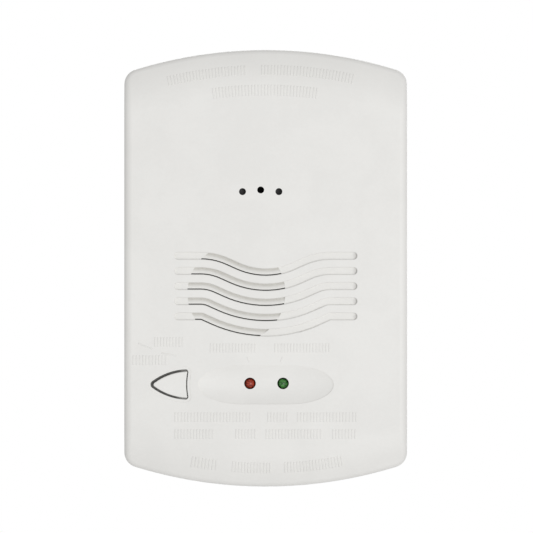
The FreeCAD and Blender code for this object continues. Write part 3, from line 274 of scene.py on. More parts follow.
    def relief(self, height: Socket, depth: float, under: Socket | None = None) -> Socket:
        """A bumped normal.

        Args:
            height: 0 to 1.
            depth: millimetres that 1 stands above 0.
            under: a normal that it is laid over.

        Returns:
            The normal socket.
        """
        node = self.add("ShaderNodeBump", None, Height=height, Strength=1.0, Distance=depth * MM)
        if under is not None:
            self.feed(node.inputs["Normal"], under)
        return node.outputs[0]


# ---------------------------------------------------------------------------------------------
# Finishes
# ---------------------------------------------------------------------------------------------


@dataclass(frozen=True)
class ShadePatch:
    """Painted shade in a recess: a round patch on the face, darker with depth.

    x, z and radius place it, with a rim `soft` wide; it starts at y = start and is full at y = full.
    """

    x: float
    z: float
    radius: float
    start: float
    full: float
    colour: Colour
    soft: float = 0.2

    def over(self, g: Graph, under: Socket) -> Socket:
        """Lays the painted shade over a colour.

        Args:
            g: the finish's graph.
            under: the colour without the painted shade.

        Returns:
            The colour socket with the painted shade laid over it.
        """
        away = g.add("ShaderNodeVectorMath", {"operation": "LENGTH"},
                     Vector=g.stretched((1.0, 0.0, 1.0), (self.x, 0.0, self.z))).outputs["Value"]
        inside = g.span(away, (self.radius - self.soft) * MM, self.radius * MM, 1.0, 0.0)
        depth = g.add("ShaderNodeSeparateXYZ", None, Vector=g.place).outputs["Y"]
        deep = g.span(depth, self.start * MM, self.full * MM, 0.0, 1.0)
        patchy = g.span(g.noise(0.9, 3.0), 0.3, 0.7, 0.8, 1.0)
        return g.blend(g.math("MULTIPLY", g.math("MULTIPLY", inside, deep), patchy), under, self.colour)


@dataclass(frozen=True)
class Moulded:
    """Moulded plastic: a spark-eroded grain over faint flow mottling, with a few handling marks."""

    name: str
    light: Colour
    dark: Colour
    grain: float = 0.34
    depth: float = 0.006
    gloss: tuple[float, float] = (0.40, 0.52)
    mottle: float = 16.0
    dust_and_shade: tuple[ShadePatch, ...] = ()

    def make(self) -> bpy.types.Material:
        """Builds the finish and returns its material."""
        g = Graph(self.name)
        flow = g.noise(self.mottle, 4.0, 0.5, 0.8)
        specks = g.noise(self.grain * 2.4, 2.0, 0.6)
        patch = g.math("ADD", g.math("MULTIPLY", flow, 0.7), g.math("MULTIPLY", specks, 0.3))
        colour = g.ramp(patch, ((0.40, self.dark), (0.60, self.light)))
        # lays the painted shade patches over the colour, darker with depth in recesses
        for spot in self.dust_and_shade:
            colour = spot.over(g, colour)
        g.set(Base_Color=colour)
        pits = g.cells(self.grain)
        fine = g.noise(self.grain * 0.45, 2.0, 0.5)
        marks = g.noise(3.0, 3.0, 0.7, 0.0, g.stretched((0.12, 1.0, 1.0), turn=24))
        rough = g.math("ADD", g.math("MULTIPLY", pits, 0.5), g.math("MULTIPLY", marks, 0.5))
        g.set(Roughness=g.span(rough, 0.25, 0.6, *self.gloss))
        grain = g.math("ADD", g.math("MULTIPLY", pits, 0.75), g.math("MULTIPLY", fine, 0.25))
        g.set(Normal=g.relief(grain, self.depth, g.relief(flow, 0.01)))
        return g.material


@dataclass(frozen=True)
class Metal:
    """Rolled, drawn or plated metal with fine lines, dull patches and tiny pits."""

    name: str
    bright: Colour
    dull: Colour
    lay: Lay = Lay.NONE
    line: float = 0.35
    gloss: tuple[float, float] = (0.22, 0.42)
    stain: float = 2.2
    turned_at: Point | None = None
    dust_and_shade: tuple[ShadePatch, ...] = ()

    def make(self) -> bpy.types.Material:
        """Builds the finish and returns its material."""
        g = Graph(self.name)
        clouds = g.noise(self.stain, 4.0, 0.6, 0.5)
        if self.turned_at is None:
            lines = g.noise(self.line, 3.0, 0.65, 0.0, g.stretched(self.lay.value))
        else:
            lines = g.rings(self.line, self.turned_at)
        colour = g.ramp(clouds, ((0.38, self.dull), (0.58, self.bright)))
        # lays the painted shade patches over the colour, darker with depth in recesses
        for spot in self.dust_and_shade:
            colour = spot.over(g, colour)
        g.set(Base_Color=colour, Metallic=1.0)
        mixed = g.math("ADD", g.math("MULTIPLY", clouds, 0.6), g.math("MULTIPLY", lines, 0.4))
        g.set(Roughness=g.span(mixed, 0.3, 0.7, *self.gloss), Normal=g.relief(lines, 0.004))
        return g.material


@dataclass(frozen=True)
class TintedEpoxy:
    """Clear dyed epoxy of a lamp: deep colour, small flow swirls, a cast skin."""

    name: str
    light: Colour
    deep: Colour

    def make(self) -> bpy.types.Material:
        """Builds the finish and returns its material."""
        g = Graph(self.name)
        swirl = g.noise(0.9, 3.0, 0.5, 1.2)
        g.set(Base_Color=g.ramp(swirl, ((0.40, self.deep), (0.58, self.light))), IOR=1.54,
              Transmission_Weight=0.15, Specular_IOR_Level=0.45,
              Roughness=g.span(swirl, 0.3, 0.7, 0.24, 0.4), Normal=g.relief(g.noise(0.5, 2.0), 0.006))
        return g.material


@dataclass(frozen=True)
class Laminate:
    """Fibreglass board under green solder mask, with the tracks standing up through it."""

    name: str
    mask: Colour
    track: Colour
    pitch: float = 2.54

    def make(self) -> bpy.types.Material:
        """Builds the finish and returns its material."""
        g = Graph(self.name)
        upright = g.span(g.bands(self.pitch / 2, "X"), 0.8, 0.9, 0.0, 1.0)
        level = g.span(g.bands(self.pitch / 2, "Z"), 0.8, 0.9, 0.0, 1.0)
        quarter = g.span(g.noise(14.0, 1.0), 0.49, 0.5, 0.0, 1.0)
        routed = g.span(g.noise(5.0, 1.0), 0.46, 0.47, 0.0, 1.0)
        crossing = g.math("MULTIPLY", level, g.math("SUBTRACT", 1.0, quarter))
        tracks = g.math("ADD", g.math("MULTIPLY", upright, quarter), crossing)
        copper = g.math("MULTIPLY", tracks, routed)
        weave = g.math("MULTIPLY", g.bands(0.55, "X"), g.bands(0.55, "Z"))
        cloth = g.noise(6.0, 3.0)
        tint = g.ramp(g.math("ADD", g.math("MULTIPLY", weave, 0.3), g.math("MULTIPLY", cloth, 0.7)),
                      ((0.25, self.mask), (0.75, tuple(c * 1.35 for c in self.mask[:3]) + (1.0,))))
        g.set(Base_Color=g.blend(copper, tint, self.track), Roughness=g.span(cloth, 0.3, 0.7, 0.22, 0.36),
              Coat_Weight=0.4, Normal=g.relief(copper, 0.03, g.relief(weave, 0.006)))
        return g.material


@dataclass(frozen=True)
class Felt:
    """Pressed charcoal felt: tangled fibres over loose clumps."""

    name: str
    light: Colour
    dark: Colour

    def make(self) -> bpy.types.Material:
        """Builds the finish and returns its material."""
        g = Graph(self.name)
        fibres = g.noise(0.35, 5.0, 0.75, 2.5)
        clumps = g.cells(0.8)
        mixed = g.math("ADD", g.math("MULTIPLY", fibres, 0.6), g.math("MULTIPLY", clumps, 0.4))
        g.set(Base_Color=g.ramp(mixed, ((0.3, self.dark), (0.7, self.light))), Sheen_Weight=0.3,
              Roughness=g.span(fibres, 0.3, 0.7, 0.85, 1.0), Normal=g.relief(mixed, 0.08))
        return g.material


@dataclass(frozen=True)
class Rubber:
    """Soft moulded rubber, matt and a little dusty."""

    name: str
    light: Colour
    dark: Colour

    def make(self) -> bpy.types.Material:
        """Builds the finish and returns its material."""
        g = Graph(self.name)
        dust_and_shade = g.noise(1.8, 5.0, 0.7)
        skin = g.noise(0.22, 3.0, 0.6)
        g.set(Base_Color=g.ramp(dust_and_shade, ((0.4, self.dark), (0.7, self.light))),
              Roughness=g.span(dust_and_shade, 0.3, 0.7, 0.6, 0.8), Normal=g.relief(skin, 0.012))
        return g.material


@dataclass(frozen=True)
class Fired:
    """Fired ceramic, ferrite or glass: mottled body with fine grain under a thin glaze."""

    name: str
    light: Colour
    dark: Colour
    size: float = 0.5
    gloss: tuple[float, float] = (0.3, 0.5)
    glaze: float = 0.2

    def make(self) -> bpy.types.Material:
        """Builds the finish and returns its material."""
        g = Graph(self.name)
        grains = g.cells(self.size, "F1")
        clouds = g.noise(self.size * 5, 3.0)
        mixed = g.math("ADD", g.math("MULTIPLY", grains, 0.4), g.math("MULTIPLY", clouds, 0.6))
        g.set(Base_Color=g.ramp(mixed, ((0.3, self.dark), (0.65, self.light))), Coat_Weight=self.glaze,
              Roughness=g.span(clouds, 0.3, 0.7, *self.gloss), Normal=g.relief(grains, 0.008))
        return g.material


@dataclass(frozen=True)
class Enamelled:
    """Enamelled copper wire: warm varnish that pools between the turns."""

    name: str
    light: Colour
    dark: Colour

    def make(self) -> bpy.types.Material:
        """Builds the finish and returns its material."""
        g = Graph(self.name)
        varnish = g.noise(0.9, 4.0, 0.6, 0.4)
        g.set(Base_Color=g.ramp(varnish, ((0.35, self.dark), (0.65, self.light))), Metallic=0.85,
              Coat_Weight=0.6, Roughness=g.span(varnish, 0.3, 0.7, 0.2, 0.38),
              Normal=g.relief(g.noise(0.2, 2.0), 0.004))
        return g.material


@dataclass(frozen=True)
class StudioBoard:
    """Matt painted board for the studio floor."""

    name: str
    light: Colour
    dark: Colour

    def make(self) -> bpy.types.Material:
        """Builds the finish and returns its material."""
        g = Graph(self.name)
        roller = g.noise(2.5, 4.0, 0.6)
        wash = g.noise(160.0, 3.0)
        g.set(Base_Color=g.ramp(wash, ((0.3, self.dark), (0.7, self.light))),
              Roughness=g.span(roller, 0.3, 0.7, 0.72, 0.86), Normal=g.relief(roller, 0.02))
        return g.material


Finish = Moulded | Metal | TintedEpoxy | Laminate | Felt | Rubber | Fired | Enamelled | StudioBoard


class Paintshop:
    """Makes each finish once and puts it on the CAD parts and the new pieces."""

    def __init__(self) -> None:
        """Starts with no finish made."""
        self.made: dict[str, bpy.types.Material] = {}

    def material(self, finish: Finish) -> bpy.types.Material:
        """Returns the finish's material, made the first time it is asked for."""
        if finish.name not in self.made:
            self.made[finish.name] = finish.make()
        return self.made[finish.name]

    def dress(self, thing: bpy.types.Object, finish: Finish) -> None:
        """Puts a finish on all of a thing's material slots."""
        if not thing.material_slots:
            thing.data.materials.append(None)
        for place in thing.material_slots:
            place.material = self.material(finish)

    def dress_nodes(self, finish: Finish, *names: str) -> None:
        """Puts a finish on the CAD nodes of these names."""
        for name in names:
            self.dress(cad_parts[name], finish)
            LOG.info("node %s: %s", name, finish.name)


# ---------------------------------------------------------------------------------------------
# Modelling
# ---------------------------------------------------------------------------------------------


class Workpiece:
    """One mesh under work, shaped with the modelling operators. Its lengths are millimetres."""

    def __init__(self, name: str) -> None:
        """Takes the object that a primitive operator has just added.

        Args:
            name: the piece's name.
        """
        self.thing = bpy.context.active_object
        self.thing.name = name
        self.thing.data.name = name

    @staticmethod
    def clear() -> None:
        """Deselects everything."""
        if bpy.context.mode != "OBJECT":
            bpy.ops.object.mode_set(mode="OBJECT")
        bpy.ops.object.select_all(action="DESELECT")

    @classmethod
    def block(cls, name: str, low: Point, high: Point) -> "Workpiece":
        """A box between two corners."""
        cls.clear()
        bpy.ops.mesh.primitive_cube_add(size=1, location=[(a + b) / 2 * MM for a, b in zip(low, high)],
                                        scale=[(b - a) * MM for a, b in zip(low, high)])
        return cls(name).settle()

    @classmethod
    def drum(cls, name: str, centre: Point, radius: float, depth: float, sides: int = 32,
             top: float | None = None) -> "Workpiece":
        """A cylinder or cone along Y.

        Args:
            name: the piece's name.
            centre: its middle.
            radius: its radius at the +Y end.
            depth: its length.
            sides: how many sides it has.
            top: its radius at the -Y end, if that differs.

        Returns:
            The workpiece.
        """
        cls.clear()
        bpy.ops.mesh.primitive_cone_add(vertices=sides, radius1=radius * MM,
                                        radius2=(radius if top is None else top) * MM, depth=depth * MM,
                                        location=[c * MM for c in centre], rotation=(math.pi / 2, 0, 0))
        return cls(name).settle()

    def settle(self) -> "Workpiece":
        """Moves the object's place into its mesh, so that it sits at the origin, and returns it."""
        self.select()
        bpy.ops.object.transform_apply(location=True, rotation=True, scale=True)
        return self

    def select(self) -> None:
        """Makes this the only selected and the active object."""
        self.clear()
        self.thing.select_set(True)
        bpy.context.view_layer.objects.active = self.thing

    def pick(self, test: Callable[[Vector, Vector], bool]) -> "Workpiece":
        """Selects faces in edit mode.

        Args:
            test: told a face's centre in millimetres and its normal, says whether it is wanted.

        Returns:
            The workpiece, in edit mode.
        """
        self.select()
        bpy.ops.object.mode_set(mode="EDIT")
        bpy.ops.mesh.select_mode(type="FACE")
        bpy.ops.mesh.select_all(action="DESELECT")
        mesh = bmesh.from_edit_mesh(self.thing.data)
        for face in mesh.faces:
            if test(face.calc_center_median() / MM, face.normal):
                face.select_set(True)
        mesh.select_flush(True)
        bmesh.update_edit_mesh(self.thing.data)
        return self

    def pick_edges(self, test: Callable[[Vector, Vector], bool]) -> "Workpiece":
        """Selects edges in edit mode by a test on both ends, in millimetres."""
        self.select()
        bpy.ops.object.mode_set(mode="EDIT")
        bpy.ops.mesh.select_mode(type="EDGE")
        bpy.ops.mesh.select_all(action="DESELECT")
        mesh = bmesh.from_edit_mesh(self.thing.data)
        for edge in mesh.edges:
            if test(edge.verts[0].co / MM, edge.verts[1].co / MM):
                edge.select_set(True)
        bmesh.update_edit_mesh(self.thing.data)
        return self

    def extrude(self, x: float = 0.0, y: float = 0.0, z: float = 0.0) -> "Workpiece":
        """Extrudes the selected faces by so many millimetres."""
        bpy.ops.mesh.extrude_region_move(TRANSFORM_OT_translate={"value": (x * MM, y * MM, z * MM)})
        return self

    def inset(self, width: float, depth: float = 0.0) -> "Workpiece":
        """Insets the selected faces."""
        bpy.ops.mesh.inset(thickness=width * MM, depth=depth * MM)
        return self

    def bevel(self, width: float, segments: int = 2) -> "Workpiece":
        """Bevels the edges of what is selected."""
        bpy.ops.mesh.bevel(offset=width * MM, segments=segments, affect="EDGES")
        return self

    def resize(self, factors: Point, centre: Point) -> "Workpiece":
        """Scales what is selected about a point in millimetres."""
        bpy.ops.transform.resize(value=factors, center_override=[c * MM for c in centre])
        return self

    def modifier(self, kind: str, **settings: object) -> "Workpiece":
        """Adds a modifier and applies it.

        Args:
            kind: the modifier's type.
            **settings: its properties.

        Returns:
            The workpiece.
        """
        self.select()
        added = self.thing.modifiers.new(kind.title(), kind)
        for key, value in settings.items():
            setattr(added, key, value)
        bpy.ops.object.modifier_apply(modifier=added.name)
        return self

    def copies(self, name: str, places: Iterable[Matrix]) -> "Workpiece":
        """Sets out copies of this piece, each with its own mesh, joins them and drops the pattern.

        Args:
            name: the joined piece's name.
            places: where each copy goes, in metres.

        Returns:
            The joined workpiece.
        """
        self.clear()
        made = []
        for place in places:
            twin = bpy.data.objects.new(name, self.thing.data.copy())
            twin.data.transform(place)
            bpy.context.scene.collection.objects.link(twin)
            twin.select_set(True)
            made.append(twin)
        bpy.data.objects.remove(self.thing)
        bpy.context.view_layer.objects.active = made[0]
        if len(made) > 1:
            bpy.ops.object.join()
        return Workpiece(name)

    def join(self, *others: "Workpiece") -> "Workpiece":
        """Joins other workpieces into this one."""
        self.select()
        for other in others:
            other.thing.select_set(True)
        bpy.ops.object.join()
        return self

    def smooth(self, degrees: float = 35.0) -> "Workpiece":
        """Shades smooth below an angle."""
        self.select()
        bpy.ops.object.shade_smooth_by_angle(angle=math.radians(degrees))
        return self

    def done(self, shop: Paintshop, finish: Finish, body: Body, slot: Slot) -> bpy.types.Object:
        """Dresses the piece, makes it ride on its body and reports it.

        Args:
            shop: where its finish is made.
            finish: its finish.
            body: the body that it rides on.
            slot: the slot name for its finish; not used.

        Returns:
            The finished object.
        """
        self.clear()
        shop.dress(self.thing, finish)
        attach(self.thing, body.value)
        faces = len(self.thing.data.polygons)
        LOG.info("piece %s: %d faces, rides on %s", self.thing.name, faces, body.value)
        return self.thing


def middle(node: str) -> Vector:
    """The middle of a CAD node's box, in millimetres."""
    low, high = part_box(node)
    return (low + high) / 2 / MM


# ---------------------------------------------------------------------------------------------
# Sub-assemblies
# ---------------------------------------------------------------------------------------------


# The right ends of the face's grooves, darkened with painted shade where their end walls face away from the
# light.
GROOVES = 5
GROOVE_PITCH = 4.48
GROOVE_END_X = 27.7
GROOVE_FIRST_Z = 3.7
GROOVE_END_SHADE = tuple(
    ShadePatch(GROOVE_END_X, GROOVE_FIRST_Z - GROOVE_PITCH * row, 2.1, -32.95, -32.6,
              paint(186, 184, 180), 2.0)
    for row in range(GROOVES))


@dataclass
class Housing:
    """The two halves of the case, and the screws of the case and the board."""

    white: Finish = Moulded("housing_white", paint(236, 235, 232), paint(233, 232, 229), dust_and_shade=(
        # painted shade: the louvre floors behind the grille darken from 0.9 mm below the face
        ShadePatch(-8.7, -7.3, 14.55, -32.1, -31.8, paint(204, 202, 196)),
        # painted shade: the walls of the gap round the test button darken with depth
        ShadePatch(-31.2, -33.6, 8.2, -32.6, -31.4, paint(96, 94, 90), 2.4),
        # painted shade at the right ends of the grooves
        *GROOVE_END_SHADE))
    rear: Finish = Moulded("rear_cover_white", paint(232, 231, 226), paint(226, 225, 220), grain=0.5,
                           depth=0.012, gloss=(0.46, 0.6))
    screws: Finish = Metal("zinc_screw", paint(196, 198, 202), paint(158, 156, 150), Lay.NONE, 0.3,
                           (0.24, 0.45), 1.4)

    def dress(self, shop: Paintshop) -> None:
        """Dresses the case's CAD nodes."""
        shop.dress_nodes(self.white, "front_cover")
        shop.dress_nodes(self.rear, "rear_cover")
        shop.dress_nodes(self.screws, "cover_screws", "board_screws")


@dataclass(frozen=True)
class BarRow:
    """One row of raised upright bars.

    line is the row's height above the middle when it is straight, and its radius about the end's
    centre when it follows an end; groups are where the bars start and stop across the face.
    """

    name: str
    line: float
    tall: float
    groups: tuple[tuple[float, float], ...]
    curve: Curve = Curve.STRAIGHT


@dataclass
class FaceMarks:
    """The fine raised marks on the face. They stand where such a detector carries its wording, as
    plain rows of upright bars with no letters among them."""

    face_y: float = -33.0
    end_centre: float = 66.25
    roll_start: float = 119.0
    roll_radius: float = 23.0
    bar_width: float = 0.42
    proud: float = 0.15
    sunk: float = 0.3
    pitch: float = 0.95
    rows: tuple[BarRow, ...] = (
        BarRow("upper_marks_outer", 125.0, 3.0, ((-29.0, -6.0), (-1.3, 26.0)), Curve.UPPER_END),
        BarRow("upper_marks_inner", 119.0, 3.2, ((-15.7, 15.3),), Curve.UPPER_END),
        BarRow("lower_marks_first", -44.1, 2.8, ((-27.0, -4.5), (0.5, 6.5), (9.3, 27.0))),
        BarRow("lower_marks_second", -49.1, 2.8, ((-27.0, -15.5), (-9.0, -3.0), (0.0, 16.5), (19.7, 26.7))),
        BarRow("lower_marks_edge", 125.4, 3.2, ((-22.0, -14.5), (-10.0, 1.5), (5.5, 22.7)), Curve.LOWER_END),
        BarRow("lamp_marks", -23.6, 2.6, ((-16.5, -3.0), (2.6, 19.0))),
        BarRow("button_marks_upper", -21.8, 2.8, ((-33.0, -24.4),)),
        BarRow("button_marks_lower", -27.2, 2.8, ((-39.4, -29.4),)),
    )
    leaders: tuple[tuple[float, float, float, float], ...] = (
        (-5.2, -27.0, 1.6, -20.0), (4.7, -27.0, 1.6, 20.0),
        (-35.6, -23.1, 4.6, 112.0), (-28.6, -25.5, 4.6, 101.0))

    def face(self, x: float, z: float) -> tuple[float, float]:
        """The face's surface at a point.

        Args:
            x: across, in millimetres.
            z: up, in millimetres.

        Returns:
            Its y, and its slope in radians, away from the end's centre.
        """
        over = math.hypot(x, abs(z) + self.end_centre) - self.roll_start
        if over <= 0:
            return self.face_y, 0.0
        return (self.face_y + self.roll_radius - math.sqrt(self.roll_radius ** 2 - over ** 2),
                math.asin(over / self.roll_radius))

    def place(self, x: float, z: float, turn: float = 0.0) -> Matrix:
        """Where a bar at x, z goes: on the face, leaning with it.

        Args:
            x: across, in millimetres.
            z: up, in millimetres.
            turn: degrees that it leans clockwise, seen from the front.

        Returns:
            The matrix for the bar, which is modelled at the origin.
        """
        y, slope = self.face(x, z)
        end = 1.0 if z >= 0 else -1.0
        round_y = Matrix.Rotation(math.radians(turn), 4, "Y")
        return Matrix.Translation(Vector((x, y, z)) * MM) @ round_y @ Matrix.Rotation(-end * slope, 4, "X")

    def row_places(self, row: BarRow) -> list[Matrix]:
        """Where each bar of a row goes."""
        found = []
        for start, stop in row.groups:
            count = max(2, round((stop - start - self.bar_width) / self.pitch) + 1)
            for i in range(count):
                x = start + self.bar_width / 2 + (stop - start - self.bar_width) * i / (count - 1)
                if row.curve is Curve.STRAIGHT:
                    found.append(self.place(x, row.line))
                else:
                    lean = math.asin(x / row.line)
                    z = row.curve.value * (row.line * math.cos(lean) - self.end_centre)
                    found.append(self.place(x, z, row.curve.value * math.degrees(lean)))
        return found

    def bar(self, tall: float) -> Workpiece:
        """Models one bar at the origin: a low block drawn in and rounded at its top.

        Args:
            tall: its length up the face.

        Returns:
            The bar, standing proud towards -Y.
        """
        half = self.bar_width / 2
        bar = Workpiece.block("bar", (-half, 0.0, -tall / 2), (half, self.sunk, tall / 2))
        bar.pick(lambda at, normal: normal.y < -0.9).extrude(y=-self.proud)
        bar.resize((0.62, 1.0, 0.93), (0, 0, 0))
        bar.pick(lambda at, normal: normal.y < -0.9).bevel(0.045, 2)
        return bar

    def build(self, shop: Paintshop, white: Finish) -> None:
        """Builds every row and the leader lines beside the lamps and the button.

        Args:
            shop: where finishes are made.
            white: the housing's finish.
        """
        for row in self.rows:
            marks = self.bar(row.tall).copies(row.name, self.row_places(row))
            marks.smooth(30.0).done(shop, white, Body.DETECTOR, Slot.HOUSING)
        for i, (x, z, length, turn) in enumerate(self.leaders, 1):
            line = self.bar(length).copies(f"leader_line_{i}", [self.place(x, z, turn)])
            line.smooth(30.0).done(shop, white, Body.DETECTOR, Slot.HOUSING)


@dataclass
class WallPlate:
    """The plate that screws to the wall box."""

    plastic: Finish = Moulded("plate_ivory", paint(234, 232, 224), paint(226, 223, 214), grain=0.6,
                              depth=0.008, gloss=(0.34, 0.5), mottle=22.0)

    def dress(self, shop: Paintshop) -> None:
        """Dresses the plate's CAD node."""
        shop.dress_nodes(self.plastic, "mounting_plate")


@dataclass
class Lamps:
    """The alarm and power lamps: their leads and spacers, and the metal frames inside the epoxy."""

    red: Finish = TintedEpoxy("alarm_lamp_epoxy", paint(182, 64, 34), paint(112, 32, 20))
    green: Finish = TintedEpoxy("power_lamp_epoxy", paint(78, 146, 68), paint(36, 88, 38))
    leads: Finish = Metal("tinned_lead", paint(206, 208, 210), paint(168, 168, 166), Lay.ALONG_Y, 0.2)
    spacers: Finish = Moulded("spacer_nylon", paint(226, 222, 208), paint(214, 208, 192), grain=0.2)
    cup_radius: float = 0.62
    cup_depth: float = 0.55
    frame_back: float = 1.9

    def dress(self, shop: Paintshop) -> None:
        """Dresses the lamps' CAD nodes."""
        shop.dress_nodes(self.red, "alarm_lamp")
        shop.dress_nodes(self.green, "power_lamp")
        shop.dress_nodes(self.leads, "lamp_leads")
        shop.dress_nodes(self.spacers, "lamp_spacers")

    def build(self, shop: Paintshop) -> None:
        """Builds the lead frame inside each lamp."""
        for node in ("alarm_lamp", "power_lamp"):
            low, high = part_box(node)
            at = middle(node)
            tip = low.y / MM + self.frame_back
            cup = Workpiece.drum(node + "_frame", (at.x, tip + 0.7, at.z), 0.45, 1.4, 20, self.cup_radius)
            cup.pick(lambda c, n: n.y < -0.9).inset(0.12).extrude(y=self.cup_depth * 0.6)
            cup.resize((0.55, 1, 0.55), (at.x, tip, at.z))
            post = Workpiece.block("post", (at.x + 1.0, tip + 0.25, at.z - 0.22),
                                   (at.x + 1.4, tip + 1.4, at.z + 0.22))
            post.pick(lambda c, n: n.y < -0.9).extrude(y=-0.2).resize((0.6, 1, 0.6), (at.x + 1.2, tip, at.z))
            cup.join(post).smooth().done(shop, self.leads, Body.DETECTOR, Slot.STEEL)


@dataclass
class GasCell:
    """The carbon monoxide cell, its filter and the gasket that seals it to the face."""

    can: Finish = Metal("cell_nickel", paint(200, 196, 186), paint(170, 166, 156), Lay.ALONG_Y, 0.4,
                        (0.2, 0.34), 3.0, (-1.48, 0.0, 22.9))
    cap: Finish = Moulded("cell_cap_black", paint(40, 40, 42), paint(26, 26, 28), grain=0.3)
    filter: Finish = Felt("charcoal_felt", paint(34, 34, 36), paint(12, 12, 14))
    gasket: Finish = Rubber("soft_rubber", paint(52, 52, 54), paint(28, 28, 30))
    tabs: Finish = Metal("tinned_tab", paint(206, 208, 210), paint(160, 160, 158), Lay.ALONG_X, 0.25)

    def dress(self, shop: Paintshop) -> None:
        """Dresses the cell's CAD nodes."""
        shop.dress_nodes(self.can, "co_cell_can")
        shop.dress_nodes(self.cap, "co_cell_cap")
        shop.dress_nodes(self.filter, "co_cell_filter")
        shop.dress_nodes(self.gasket, "sensor_gasket", "sounder_gasket")
        shop.dress_nodes(self.tabs, "co_cell_tabs")


@dataclass
class Sounder:
    """The piezo sounder behind the grille."""

    case: Finish = Moulded("sounder_black", paint(44, 44, 46), paint(30, 30, 32), grain=0.35)
    brass: Finish = Metal("brass_sheet", paint(214, 178, 92), paint(176, 136, 58), Lay.ALONG_X, 0.3,
                          (0.22, 0.4), 4.0)
    ceramic: Finish = Fired("silvered_ceramic", paint(214, 208, 192), paint(178, 172, 156), 0.4)
    pins: Finish = Metal("sounder_pin", paint(208, 208, 208), paint(166, 166, 164), Lay.ALONG_Y, 0.2)

    def dress(self, shop: Paintshop) -> None:
        """Dresses the sounder's CAD nodes."""
        shop.dress_nodes(self.case, "sounder_housing", "sounder_lid")
        shop.dress_nodes(self.brass, "piezo_disc")
        shop.dress_nodes(self.ceramic, "piezo_ceramic")
        shop.dress_nodes(self.pins, "sounder_pins")


@dataclass
class TestSwitch:
    """The test button's cap and the switch under it."""

    cap: Finish = Moulded("button_white", paint(238, 237, 234), paint(234, 233, 230), grain=0.3, dust_and_shade=(
        # painted shade: the button's sides darken with depth inside the gap round it
        ShadePatch(-31.2, -33.6, 8.8, -32.4, -31.2, paint(96, 94, 90), 2.4),))
    plastic: Finish = Moulded("switch_black", paint(48, 48, 50), paint(32, 32, 34), grain=0.25)
    cover: Finish = Metal("switch_cover", paint(198, 200, 202), paint(160, 160, 158), Lay.ALONG_X, 0.2)

    def dress(self, shop: Paintshop) -> None:
        """Dresses the switch's CAD nodes."""
        shop.dress_nodes(self.cap, "test_button")
        shop.dress_nodes(self.plastic, "switch_plunger", "switch_body")
        shop.dress_nodes(self.cover, "switch_cover", "switch_leads")


@dataclass
class TerminalEnd:
    """The field-wiring block at the back of the board."""

    plastic: Finish = Moulded("terminal_green", paint(56, 132, 78), paint(36, 104, 58), grain=0.4, mottle=8.0)
    clamps: Finish = Metal("clamp_steel", paint(196, 196, 192), paint(150, 148, 142), Lay.ALONG_Z, 0.3)
    pins: Finish = Metal("terminal_pin", paint(208, 208, 206), paint(168, 168, 164), Lay.ALONG_Y, 0.2)
    screws: Finish = Metal("terminal_screw", paint(196, 198, 202), paint(158, 156, 150), Lay.NONE, 0.3,
                           (0.24, 0.45), 1.4, None,
                           # painted shade: the screws darken from y -6.2 to -6.6, in their slots
                           (ShadePatch(0.0, 31.4, 40.0, -6.2, -6.6, paint(44, 43, 41)),))

    def dress(self, shop: Paintshop) -> None:
        """Dresses the block's CAD nodes."""
        shop.dress_nodes(self.plastic, "terminal_block")
        shop.dress_nodes(self.clamps, "terminal_clamps")
        shop.dress_nodes(self.pins, "terminal_pins")
        shop.dress_nodes(self.screws, "terminal_screws")


